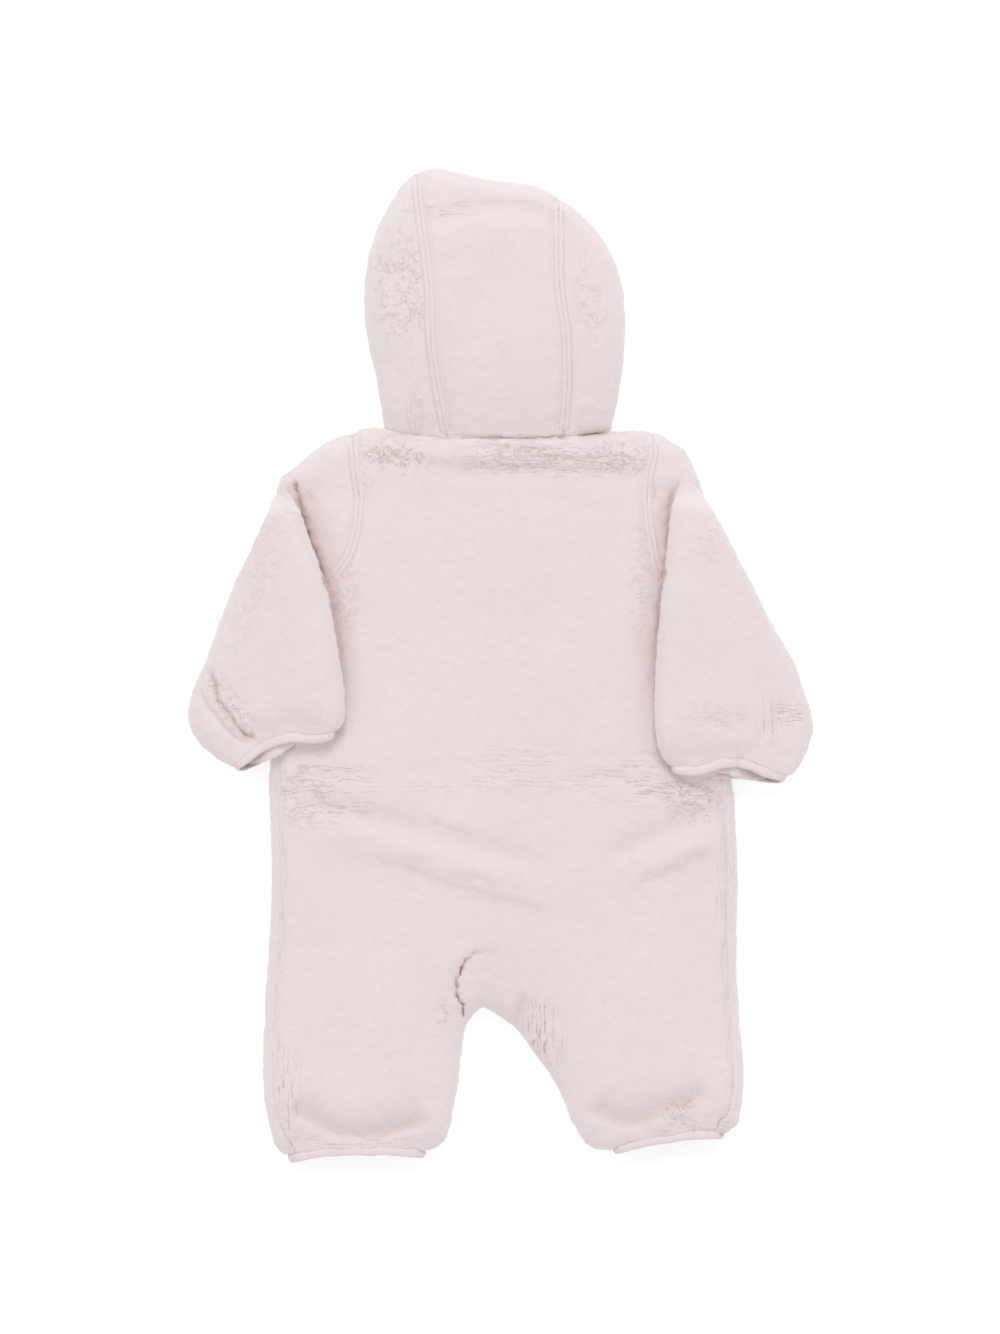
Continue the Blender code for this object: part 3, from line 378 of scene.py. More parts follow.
@dataclass(frozen=True)
class FleeceFinish:
    """Brushed pile fleece: short curls, pressed and crinkled where the cloth bends, with painted
    shade in its recesses and a painted sheen at its rims.
    """

    name: str = "pile_fleece"
    colour: Colour = (0.815, 0.729, 0.728)
    deep: Colour = (0.600, 0.452, 0.430)    # painted shade, in creases, grooves and the pile's pits
    deepest_shade: Colour = (0.17, 0.10, 0.09)       # painted shade, near black, in the deepest creases
    rim_sheen: Colour = (0.90, 0.86, 0.84)       # painted sheen, where the surface turns away from the camera
    rim_sheen_share: float = 0.75      # how far the painted sheen shows there
    fibre: float = 0.9
    curl: float = 2.6
    nap: float = 9.0
    cloud: float = 60.0

    def lines(self, sheet: NodeSheet, coordinate: Socket, run: Run, shift: float) -> Socket:
        """Return thin wandering lines where the crinkled pile parts, weighted by its patches.

        Args:
            sheet: The node sheet.
            coordinate: The coordinates, in metres.
            run: The direction in which the lines run.
            shift: A number that gives these lines their own noise.

        Returns:
            A socket that is 1 in a line at full strength and 0 elsewhere.
        """
        scale = tuple(scale_of(size) for size in run.value)
        placed = sheet.add("Mapping", {"Vector": coordinate, "Scale": scale,
                                       "Location": (shift, shift, shift)}).outputs[0]
        if run is Run.CURL:
            lumps = sheet.noise(placed, 1.1, 1.0, 0.7)
            off, width = sheet.math("ABSOLUTE", sheet.math("SUBTRACT", lumps, 0.5)), 0.06
        else:
            waves = sheet.add("TexWave", {"Vector": placed, "Scale": 0.314, "Distortion": 8.5,
                                          "Detail": 2.0, "Detail Scale": 2.8,
                                          "Detail Roughness": 0.6},
                              bands_direction="X" if run is Run.DOWN else "Y")
            off, width = sheet.math("SUBTRACT", 1.0, waves.outputs["Fac"]), 0.15
        line = sheet.add("MapRange", {"Value": off, "From Min": 0.0, "From Max": width,
                                      "To Min": 1.0, "To Max": 0.0},
                         interpolation_type="SMOOTHERSTEP")
        kept = sheet.add("MapRange", {"Value": sheet.noise(placed, 0.8, 0.0), "From Min": 0.39,
                                      "From Max": 0.56}, interpolation_type="SMOOTHSTEP")
        strength = sheet.math("MULTIPLY", kept.outputs[0], sheet.field(run.field()))
        return sheet.math("MULTIPLY", line.outputs[0], strength)

    def build(self) -> bpy.types.Material:
        """Make the material.

        Returns:
            The material.
        """
        sheet = NodeSheet(self.name)
        place = sheet.place()
        cloud = sheet.noise(place, scale_of(self.cloud))
        nap = sheet.noise(place, scale_of(self.nap), 3.0)
        fibre = sheet.noise(place, scale_of(self.fibre), 2.0, 1.2)
        curls = sheet.add("TexVoronoi", {"Vector": place, "Scale": scale_of(self.curl),
                                         "Smoothness": 0.6},
                          feature="SMOOTH_F1").outputs["Distance"]
        lines = self.lines(sheet, place, Run.CURL, 7.0)
        for shift, run in enumerate((Run.ACROSS, Run.LONG, Run.DOWN)):
            lines = sheet.math("MAXIMUM", lines, self.lines(sheet, place, run, 3.0 * shift))
        # painted shade in the creases and in the seams' grooves, read from the meshes
        recess_shade = sheet.field("recess_shade")
        # random tone from the cloud and the nap; painted shade in the curls' pits, in the
        # crinkles' grooves and in the creases
        tone_and_shade = sheet.total(-0.08, (cloud, 0.20), (nap, 0.09), (curls, 0.10), (lines, 0.62),
                           (recess_shade, 1.0))
        # the darkest painted shade, where the crease shade is strongest, broken up by noise
        shade_depth = sheet.total(recess_shade, (fibre, 0.6), (nap, 1.2))
        deepest_shade = sheet.add("MapRange", {"Value": shade_depth, "From Min": 1.65, "From Max": 2.25})
        # painted sheen: paler where the surface turns away from the camera
        edge = sheet.add("LayerWeight", {"Blend": 0.35})
        rim_sheen_share = sheet.math("MULTIPLY", edge.outputs["Facing"], self.rim_sheen_share)
        mixed = sheet.blend(tone_and_shade, self.colour, self.deep)
        darker = sheet.blend(deepest_shade.outputs[0], mixed, self.deepest_shade)
        sheet.link(sheet.blend(rim_sheen_share, darker, self.rim_sheen), "Base Color")
        sheet.bump(sheet.total(0.0, (curls, -0.55), (fibre, 0.35), (nap, 0.9), (lines, -1.2)),
                   0.55, 0.8)
        sheet.set(Roughness=0.95, Specular_IOR_Level=0.12, Sheen_Weight=0.75, Sheen_Roughness=0.45,
                  Sheen_Tint=(1.0, 0.99, 0.98, 1.0))
        return sheet.material


@dataclass(frozen=True)
class BindingFinish:
    """Smooth stretch binding with a fine knit rib."""

    name: str = "stretch_binding"
    colour: Colour = (0.82, 0.715, 0.71)
    mouth_shadow: Colour = (0.30, 0.10, 0.085)    # painted shadow in a cuff's mouth
    rib: float = 0.75

    def build(self) -> bpy.types.Material:
        """Make the material.

        Returns:
            The material.
        """
        sheet = NodeSheet(self.name)
        place = sheet.place()
        knit = sheet.add("TexVoronoi", {"Vector": place, "Scale": scale_of(self.rib)})
        cloth = sheet.mottle(sheet.noise(place, 90.0), self.colour, 0.94)
        # painted shadow in a cuff's mouth
        sheet.link(sheet.blend(sheet.field("mouth_shadow"), cloth, self.mouth_shadow), "Base Color")
        sheet.bump(knit.outputs["Distance"], 0.35, 0.25)
        sheet.set(Roughness=0.78, Specular_IOR_Level=0.25, Sheen_Weight=0.2, Sheen_Roughness=0.4)
        return sheet.material


@dataclass(frozen=True)
class TapeFinish:
    """Woven zip tape, with the weave's ribs across it."""

    name: str = "zip_tape_weave"
    colour: Colour = (0.79, 0.66, 0.655)
    shade: float = 0.86     # of the colour between the ribs

    def build(self) -> bpy.types.Material:
        """Make the material.

        Returns:
            The material.
        """
        sheet = NodeSheet(self.name)
        placed = sheet.add("Mapping", {"Vector": sheet.place(), "Scale": (1800.0, 3200.0, 1800.0)})
        weave, warp = (sheet.add("TexWave", {"Vector": placed.outputs[0], "Scale": 0.5,
                                             "Distortion": 0.4},
                                 bands_direction=axis).outputs["Fac"] for axis in "YX")
        both = sheet.math("MULTIPLY", weave, warp)
        between = tuple(part * self.shade for part in self.colour)
        sheet.link(sheet.blend(both, between, self.colour), "Base Color")
        sheet.bump(both, 0.5, 0.15)
        sheet.set(Roughness=0.8, Sheen_Weight=0.1)
        return sheet.material


@dataclass(frozen=True)
class SlickFinish:
    """A smooth hard or spun finish: the zip's painted metal, its coil, or stitching thread."""

    name: str
    colour: Colour
    roughness: float
    coat: float = 0.0
    grain: float = 0.4

    def build(self) -> bpy.types.Material:
        """Make the material.

        Returns:
            The material.
        """
        sheet = NodeSheet(self.name)
        place = sheet.place()
        worn = sheet.noise(place, 160.0, 3.0)
        sheet.link(sheet.mottle(worn, self.colour, 0.93), "Base Color")
        sheet.bump(sheet.noise(place, scale_of(self.grain)), 0.15, 0.08)
        sheet.set(Roughness=self.roughness, Coat_Weight=self.coat)
        return sheet.material


class Finishes:
    """Every finish of the suit, each made once."""

    def __init__(self) -> None:
        """Make the materials."""
        self.fleece = FleeceFinish().build()
        self.binding = BindingFinish().build()
        self.tape = TapeFinish().build()
        self.metal = SlickFinish("painted_slider", (0.74, 0.61, 0.60), 0.38, 0.3, 1.5).build()
        self.coil = SlickFinish("spun_coil", (0.80, 0.67, 0.66), 0.5).build()
        self.thread = SlickFinish("seam_thread", (0.83, 0.72, 0.71), 0.75, 0.0, 0.25).build()


# ------------------------------------------------------------------ helpers for meshes
def mesh_from(name: str, points: np.ndarray, faces: Sequence[Sequence[int]]) -> bpy.types.Object:
    """Make a smooth object.

    Args:
        name: The object's name.
        points: Its points in millimetres, one row each.
        faces: The numbers of each face's points.

    Returns:
        The object.
    """
    mesh = bpy.data.meshes.new(name)
    mesh.from_pydata((points * MM).tolist(), [], [list(face) for face in faces])
    mesh.validate()
    mesh.update()
    mesh.shade_smooth()
    piece = bpy.data.objects.new(name, mesh)
    bpy.context.scene.collection.objects.link(piece)
    return piece


def grid_faces(rows: int, columns: int, start: int = 0, closed: bool = False) -> Faces:
    """Return the quads between rows of points.

    Args:
        rows: How many rows there are.
        columns: How many points each row has.
        start: The number of the first point.
        closed: Whether each row closes into a ring.

    Returns:
        The quads, each from one row to the next.
    """
    faces = []
    for row in range(rows - 1):
        for column in range(columns if closed else columns - 1):
            a = start + row * columns + column
            b = start + row * columns + (column + 1) % columns
            faces.append((a, b, b + columns, a + columns))
    return faces


def face_out(piece: bpy.types.Object, fill: bool = False) -> None:
    """Turn a piece's faces outwards.

    Args:
        piece: The piece.
        fill: Whether its open ends are closed first.
    """
    shape = bmesh.new()
    shape.from_mesh(piece.data)
    if fill:
        bmesh.ops.holes_fill(shape, edges=[edge for edge in shape.edges if edge.is_boundary])
    bmesh.ops.recalc_face_normals(shape, faces=shape.faces[:])
    shape.to_mesh(piece.data)
    shape.free()


def tree_of(meshes: Iterable[bpy.types.Mesh]) -> BVHTree:
    """Make one search tree of several meshes.

    Args:
        meshes: The meshes, all in the same frame.

    Returns:
        The tree.
    """
    points: list[Vector] = []
    faces: Faces = []
    for mesh in meshes:
        start = len(points)
        points += [vertex.co.copy() for vertex in mesh.vertices]
        faces += [tuple(start + k for k in polygon.vertices) for polygon in mesh.polygons]
    return BVHTree.FromPolygons(points, faces)


def node_tree(names: Iterable[str]) -> BVHTree:
    """Return a search tree of some of the frame's nodes."""
    return tree_of(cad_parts[name].data for name in names)


def top_at(tree: BVHTree, x: float, y: float) -> float | None:
    """Return how high the tree's top lies at a spot in plan, in millimetres, if it's there."""
    hit = tree.ray_cast(Vector((x, y, OVERHEAD)) * MM, DOWN)[0]
    return None if hit is None else hit.z / MM


def harden(piece: bpy.types.Object) -> None:
    """Apply a piece's modifiers for good.

    Args:
        piece: The piece.
    """
    depsgraph = bpy.context.evaluated_depsgraph_get()
    depsgraph.update()
    raw = piece.data
    piece.data = bpy.data.meshes.new_from_object(piece.evaluated_get(depsgraph))
    piece.modifiers.clear()
    bpy.data.meshes.remove(raw)


def write_field(piece: bpy.types.Object, name: str, values: np.ndarray) -> None:
    """Store a number for each of a piece's points, for its material to read."""
    layer = piece.data.attributes.new(name, "FLOAT", "POINT")
    layer.data.foreach_set("value", np.asarray(values, np.float32))


def settle(piece: bpy.types.Object, material: bpy.types.Material) -> bpy.types.Object:
    """Give a soft piece its material, and let it ride on the suit's body.

    Args:
        piece: The piece.
        material: Its material.

    Returns:
        The piece.
    """
    piece.data.materials.clear()
    piece.data.materials.append(material)
    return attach(piece, SUIT_BODY)


# ------------------------------------------------------------------ the folds, in plan
LEFT_FOLD = ((-144, 130), (-139, 111), (-134.5, 95.6), (-128.5, 79), (-123.5, 64), (-118.5, 48),
             (-115.5, 30), (-112.5, 11), (-109.5, -5), (-107.5, -24), (-107, -36))
RIGHT_FOLD = ((121, 132), (119.5, 116), (117.5, 100), (116, 83), (114, 67), (112, 51),
              (110.5, 34), (109, 17), (107.5, 0), (106.8, -20), (106.8, -40))
# each fold's sixth value, deep, is how strongly shade is painted into it
TOP_FOLDS = (
    # the two large folds across the seat: soft above, sharp below
    Crease(((-150, -96), (-122, -98), (-86, -107), (-65, -112), (-37, -121), (-19, -125),
            (0, -130), (30, -141), (47, -150)), -3.4, 9.0, 6.0, (0.2, 0.3), 0.16),
    Crease(((-58, -106), (-37, -113), (-12, -120)), -0.9, 1.6, 2.0, (0.3, 0.3), 0.25, 0.7),
    Crease(((-112, -131), (-75, -139), (-51, -147), (-28, -156), (-5, -161), (19, -168),
            (49, -176)), -1.1, 2.4, 9.0, (0.3, 0.22), 0.10, 0.4),
    Crease(((-92, -121), (-42, -134), (14, -152)), 1.6, 7.0, 7.5),
    Crease(((70, -138), (89, -127), (112, -118), (135, -108), (154, -102)), -3.0, 9.0, 5.5,
           (0.25, 0.15), 0.16),
    Crease(((84, -159), (107, -150), (131, -139), (152, -130)), -1.4, 4.0, 9.0, (0.3, 0.2), 0.03),
    Crease(((96, -144), (124, -131), (152, -117)), 1.8, 6.0, 6.5),
    # the crotch: the left leg's cloth lies over the right one's, and a dimple beside it; shade is
    # painted near black into the crease under the lap
    Crease(((-25.5, -248), (-26.6, -239.5), (-30, -230.5), (-31, -219.5), (-28, -213),
            (-20, -203), (-13, -199.8), (-4, -199.8), (6, -202)), -3.8, 1.2, 1.4, (0.03, 0.6),
           1.2, 1.9),
    Crease(((-34, -246), (-38, -231), (-38, -217), (-32, -206), (-22, -196)), 1.6, 5.0, 4.0),
    Crease(((17, -226), (14, -240), (10, -252)), -3.4, 3.6, 3.0, (0.35, 0.0), 0.35, 0.5),
    # where the legs blouse over their hems, with painted shade in the troughs
    Crease(((-150, -307), (-124, -323), (-108, -328), (-88, -329.5), (-77, -327), (-60, -321.5),
            (-46, -314)), -3.6, 13.0, 4.0, (0.12, 0.12), 0.3),
    Crease(((58, -308), (76, -317), (92, -320), (112, -313), (132, -306), (149, -293)),
           -3.2, 12.0, 4.5, (0.12, 0.15), 0.28),
    # the roll behind the neck, the shadow under it and the gap at the hood's corner, with shade
    # painted into them
    Crease(((-93, 158), (-82, 152), (-71, 144.5), (-50, 142), (-18, 137.5), (30, 137),
            (90, 137.5), (108, 146)), -1.6, 4.0, 7.0, (0.1, 0.1), 0.06, 0.8),
    Crease(((50, 160.5), (64, 162.6), (76, 163.8), (86, 164.4)), -6.5, 2.6, 2.8, (0.3, 0.0),
           0.9, 0.5),
    Crease(((-84, 161), (-66, 161.2), (-50, 160.6)), -1.8, 2.4, 2.4, (0.1, 0.4), 0.2, 0.6),
    Crease(((-34, 159.4), (0, 159.2), (24, 159.2), (52, 160.6)), -1.6, 1.5, 1.7, (0.35, 0.1),
           0.5, 0.9),
    Crease(((-40, 150), (-8, 153.5), (22, 152), (58, 154)), -0.8, 1.4, 1.8, (0.3, 0.3), 0.4, 1.1),
    Crease(((2, 144.5), (28, 146.5), (60, 145), (92, 148.5)), -0.9, 1.4, 1.8, (0.25, 0.3),
           0.45, 1.2),
    Crease(((-96, 153), (-80, 147.5), (-66, 143)), -0.9, 1.5, 1.8, (0.3, 0.3), 0.4, 1.1),
    # the hood: shadow under the crown's rim, and the soft troughs of its strips
    Crease(((-68, 314), (-40, 317), (-5, 321), (25, 319), (46, 308), (62, 288)), -2.2, 4.5, 8.0,
           (0.15, 0.3), 0.06),
    Crease(((-62, 334), (-35, 337), (0, 331), (30, 324), (52, 308)), 1.6, 8.0, 7.0),
    Crease(((8, 304), (0, 280), (-8, 250), (-16, 210)), -1.8, 12.0, 12.0, (0.3, 0.35)),
    Crease(((-36, 290), (-33, 270)), -1.2, 10.0, 9.0, (0.4, 0.4)),
    Crease(((56, 299), (64, 281), (72, 262), (74, 240)), -1.8, 8.0, 7.0, (0.3, 0.4)),
    Crease(((-62, 300), (-70, 276), (-71, 250), (-64, 222)), -1.0, 7.0, 9.0, (0.3, 0.3)),
    # beside the sleeves' inner folds, where they press on the back, with the shade that the
    # sleeves cast painted along them
    Crease(LEFT_FOLD, -2.2, 1.6, 2.2, (0.02, 0.85), 1.1, 2.0, 25.0),
    Crease(LEFT_FOLD, -1.0, 3.0, 3.0, (0.1, 0.2), 0.35, 1.5, 25.0),
    Crease(LEFT_FOLD, -1.0, 15.0, 8.0, (0.05, 0.15), 0.24, 0.0, 25.0),
    Crease(RIGHT_FOLD, -2.0, 2.4, 1.4, (0.1, 0.5), 0.7, 2.0, 25.0),
    Crease(RIGHT_FOLD, -1.0, 8.0, 14.0, (0.05, 0.15), 0.24, 0.0, 25.0),
    # a tuck beside the right armhole, and the pile that the sleeves ruffle
    Crease(((112, 132), (107.5, 119), (104.5, 105), (103.5, 92)), -1.2, 1.3, 1.5, (0.3, 0.4),
           0.6, 0.8),
    Crease(((-113, 70), (-106, 74), (-101, 80)), -0.9, 1.2, 1.3, (0.1, 0.5), 0.5, 0.8),
    Crease(((-111, 62), (-104, 63), (-98, 67)), -0.8, 1.2, 1.3, (0.1, 0.5), 0.45, 0.8),
    # long slack waves in the back, from shoulder to waist
    Crease(((-60, 118), (-78, 70), (-80, 10), (-66, -50)), -1.1, 16.0, 14.0, (0.35, 0.35)),
    Crease(((66, 112), (80, 60), (82, 0), (72, -55)), -1.1, 14.0, 16.0, (0.35, 0.35)),
    Crease(((-20, 96), (-6, 40), (-14, -30)), 0.8, 26.0, 26.0, (0.4, 0.4)),
    Crease(((-150, -70), (-112, -76), (-60, -74), (0, -72)), -0.8, 6.0, 6.0, (0.3, 0.4)),
    Crease(((34, -76), (84, -80), (128, -84), (158, -80)), -1.0, 6.0, 6.0, (0.3, 0.3)),
    # thighs and side seams
    Crease(((-146, -160), (-132, -200), (-134, -252), (-146, -292)), -1.0, 9.0, 10.0, (0.3, 0.3)),
    Crease(((147, -160), (136, -205), (138, -255), (150, -285)), -0.9, 10.0, 9.0, (0.3, 0.3)),
    Crease(((-96, -196), (-84, -240), (-88, -284)), 1.1, 22.0, 22.0, (0.4, 0.4)),
    Crease(((88, -190), (98, -236), (96, -276)), 1.1, 22.0, 22.0, (0.4, 0.4)),
)
SLEEVE_FOLDS = (
    # left sleeve: the roll beside the cuff and the crease that starts it
    Crease(((-206, 3), (-200, -10), (-197.5, -23), (-187, -37), (-177, -49), (-169, -51)),
           -3.0, 1.8, 2.2, (0.25, 0.06), 0.75, 1.4),
    Crease(((-212, -8), (-207, -24), (-197, -38), (-186, -49), (-174, -54)), -1.6, 1.6, 1.6,
           (0.25, 0.1), 0.4, 1.4),
    Crease(((-204, -12), (-200, -24), (-190, -38), (-180, -49)), 1.2, 2.4, 2.4),
    Crease(((-217, -22), (-210, -36), (-200, -48), (-188, -58)), 1.6, 6.0, 6.0),
    Crease(((-168, 96), (-176, 66), (-184, 36), (-193, 14)), -1.1, 6.0, 8.0, (0.3, 0.3)),
    Crease(((-128, 44), (-122, 8), (-119, -20)), 1.2, 9.0, 9.0, (0.4, 0.3)),
    Crease(((-160, 60), (-156, 20), (-160, -18)), -0.9, 13.0, 13.0, (0.4, 0.4)),
    # right sleeve: the soft trough over the cuff and the lines beside its seam
    Crease(((134, -33), (150, -42), (166, -40), (178, -36)), -2.2, 9.0, 9.0, (0.3, 0.3)),
    Crease(((188, -24), (200, -34), (212, -38)), -1.4, 4.0, 4.0, (0.3, 0.2)),
    Crease(((186, -46), (196, -52), (208, -58)), 1.2, 6.0, 6.0, (0.3, 0.3)),
    Crease(((128, 60), (121, 20), (118, -30)), 1.2, 9.0, 9.0, (0.3, 0.3)),
    Crease(((152, 84), (160, 50), (166, 10)), -1.0, 12.0, 12.0, (0.4, 0.4)),
)
MOUTHS = (
    # the cuffs' mouths stand open only at their outer ends
    Crease(((-184, -66), (-168, -60), (-150, -54), (-132, -49), (-110, -42)), -6.9, 15.0, 30.0,
           (0.25, 0.3)),
    Crease(((110, -58), (126, -67), (145, -71), (164, -74), (186, -76)), -6.9, 15.0, 30.0,
           (0.3, 0.25)),
)
UNDER_FOLDS = (
    # shallow lifts of the fronts off the floor, like the back's own waves
    Crease(((-140, -96), (-90, -120), (-40, -150)), 2.0, 9.0, 7.0, (0.3, 0.3)),
    Crease(((140, -104), (92, -128), (40, -156)), 1.8, 8.0, 8.0, (0.3, 0.3)),
    Crease(((-110, 60), (-90, 0), (-100, -60)), 1.4, 12.0, 12.0, (0.3, 0.3)),
    Crease(((100, 70), (88, 5), (104, -50)), 1.4, 12.0, 12.0, (0.3, 0.3)),
    Crease(((-60, -230), (-84, -270), (-80, -310)), 1.6, 9.0, 9.0, (0.3, 0.3)),
    Crease(((70, -226), (96, -262), (104, -300)), 1.6, 9.0, 9.0, (0.3, 0.3)),
    Crease(((-16, -214), (-40, -224), (-62, -222)), 1.8, 6.0, 6.0, (0.3, 0.3)),
    Crease(((8, -214), (34, -228), (58, -224)), 1.8, 6.0, 6.0, (0.3, 0.3)),
    Crease(((-66, 230), (-60, 262), (-48, 300)), 1.6, 8.0, 8.0, (0.3, 0.3)),
    Crease(((60, 226), (58, 262), (44, 298)), 1.6, 8.0, 8.0, (0.3, 0.3)),
)
CRINKLES = (
    Patch((-69, 263), (20, 38), 0.80, Run.CURL),
    Patch((-66, 285), (10, 24), 0.5, Run.DOWN, 15),
    Patch((-56, 178), (10, 15), 0.5, Run.DOWN),
    Patch((-42, 317), (27, 7), 0.75, Run.ACROSS, 4),
    Patch((63, 258), (11, 27), 0.55, Run.CURL, 12),
    Patch((-76, 147), (26, 12), 1.0, Run.CURL, -14),
    Patch((44, 143), (66, 12), 1.0, Run.ACROSS),
    Patch((14, 146), (36, 10), 0.8, Run.CURL),
    Patch((0, 159), (60, 4), 0.8, Run.ACROSS),
    Patch((84, 146), (24, 14), 0.9, Run.CURL),
    Patch((-100, 128), (13, 16), 0.4, Run.CURL),
    Patch((98, 50), (9, 46), 0.4, Run.CURL),
    Patch((-108, 56), (9, 34), 0.45, Run.CURL, 8),
    Patch((-30, -84), (42, 9), 0.32, Run.LONG),
    Patch((16, -72), (38, 20), 0.38, Run.LONG),
    Patch((80, -84), (46, 14), 0.45, Run.LONG),
    Patch((124, -80), (42, 22), 0.9, Run.LONG),
    Patch((132, -84), (26, 18), 0.8, Run.ACROSS),
    Patch((136, -90), (22, 20), 1.1, Run.CURL),
    Patch((-140, -92), (20, 22), 0.75, Run.CURL),
    Patch((-124, -88), (36, 26), 0.8, Run.LONG),
    Patch((30, -257), (13, 24), 1.4, Run.DOWN, 12),
    Patch((-41, -243), (5, 9), 0.7, Run.CURL),
    Patch((126, -311), (12, 9), 0.8, Run.CURL),
    Patch((138, -324), (28, 8), 0.7, Run.ACROSS, 8),
    Patch((-104, -333), (46, 6), 0.5, Run.ACROSS),
    Patch((158, -170), (8, 60), 0.4, Run.DOWN),
    Patch((-149, -296), (9, 42), 0.9, Run.DOWN),
)
SLEEVE_CRINKLES = (
    Patch((-167, 63), (13, 56), 0.35, Run.CURL, -22),
    Patch((-188, -28), (9, 30), 0.9, Run.CURL, 35),
    Patch((-142, 116), (12, 18), 0.5, Run.CURL),
    Patch((204, -34), (17, 9), 0.85, Run.ACROSS),
    Patch((186, -42), (8, 22), 0.6, Run.DOWN),
    Patch((145, 84), (12, 16), 0.35, Run.CURL),
    Patch((152, -36), (26, 10), 0.3, Run.ACROSS),
)


@dataclass(frozen=True)
class Droop:
    """A spot where the soft cloth hangs out a little over the outline."""

    centre: Plan
    radius: float
    way: Plan

    def moved(self, places: np.ndarray) -> np.ndarray:
        """Measure how far points move.

        Args:
            places: The points, one row each.

        Returns:
            Each point's way, in plan.
        """
        away = places[:, :2] - np.array(self.centre)
        felt = np.exp(-np.sum(away ** 2, axis=1) / self.radius ** 2)
        return np.outer(felt, self.way)


DROOPS = (
    # the hood's sides and the shoulders
    Droop((-52, 343), 14, (-0.3, 1.0)), Droop((24, 336), 16, (0.3, 0.9)),
    Droop((66, 304), 34, (0.8, 0.8)), Droop((-92, 166), 15, (0.0, 3.0)),
    Droop((-122, 154), 20, (-0.6, 1.6)), Droop((-157, 131), 11, (-0.8, 1.4)),
    Droop((109, 160), 14, (0.8, 3.4)), Droop((128, 149), 12, (1.0, 1.2)),
    Droop((140, 127), 8, (1.0, 0.4)),
    # the sleeves' outer folds
    Droop((-186, 58), 26, (-0.9, 0.4)), Droop((-202, 22), 18, (-1.0, 0.3)),
    Droop((-217, -34), 17, (-1.6, -0.2)), Droop((-211, -52), 13, (-0.8, -0.6)),
    Droop((-186, -73), 12, (0.0, -0.9)), Droop((154, 94), 18, (1.5, 0.8)),
    Droop((189, 36), 16, (-0.9, -0.4)), Droop((206, 2), 14, (1.0, 0.2)),
    Droop((217, -38), 16, (1.8, 0.0)), Droop((203, -74), 12, (0.9, -1.2)),
    # the legs' outer and inner edges
    Droop((166, -150), 40, (1.9, 0.0)), Droop((168, -290), 30, (1.6, 0.0)),
    Droop((-163, -225), 26, (-0.7, 0.0)), Droop((-162, -306), 20, (-1.1, 0.0)),
    Droop((32, -278), 22, (-1.4, -1.0)), Droop((6, -252), 14, (-0.8, -0.8)),
    Droop((-33, -298), 24, (1.7, 0.0)),
    # the corners over the hems
    Droop((-155, -336), 12, (-3.4, -3.0)), Droop((-44, -331), 13, (3.6, -4.0)),
    Droop((69, -332), 14, (-2.8, -7.2)), Droop((161, -321), 12, (4.0, -3.8)),
)


@dataclass(frozen=True)
class Arch:
    """How far one lip of a cuff's mouth is drawn back into the sleeve."""

    middle: Plan
    half: float             # half the arch's width
    depth: float
    upper: bool

    ALONG = 26.0            # half its length, along the sleeve

    def moved(self, places: np.ndarray, upper: np.ndarray) -> np.ndarray:
        """Measure how far points move back.

        Args:
            places: The points, one row each.
            upper: Each point's share in the upper lip.

        Returns:
            Each point's way along the sleeve.
        """
        across = np.exp(-((places[:, 0] - self.middle[0]) / self.half) ** 2)
        along = np.exp(-((places[:, 1] - self.middle[1]) / self.ALONG) ** 2)
        return self.depth * across * along * (upper if self.upper else 1.0 - upper)


ARCHES = (
    Arch((-166, -62), 13, 6.5, True), Arch((-148, -58), 15, 8.0, True),
    Arch((-138, -62), 14, 8.5, False), Arch((-160, -70), 10, 1.0, False),
    Arch((170, -78), 16, 7.5, True), Arch((153, -76), 12, 4.0, True),
    Arch((140, -84), 14, 5.0, False), Arch((157, -84), 12, 3.6, False),
)


# ------------------------------------------------------------------ seams
@dataclass(frozen=True)
class Seam:
    """A twin-needle seam: its line in plan, and the band that its stitches press flat."""

    name: str
    line: tuple[Plan, ...]
    ends: tuple[float, float] = (0.0, 0.0)  # the lengths trimmed at its ends
    half: float = 4.9           # half the band's width
    needle: float = 3.5         # each row of stitches lies this far from the seam
    mark: float = 0.35          # how strongly shade is painted into the stitched grooves and the joint
    rise: float = 0.75          # how far the band stands over the pressed cloth
    sink: float = 1.35          # how deep the cloth is pressed

    def points(self, step: float) -> np.ndarray:
        """Lay points along the seam, between its trimmed ends.

        Args:
            step: The distance between them, in millimetres.

        Returns:
            The points in plan, one row each.
        """
        line = smooth_line(self.line, step)
        first, last = (int(round(end / step)) for end in self.ends)
        return line[first:len(line) - last]


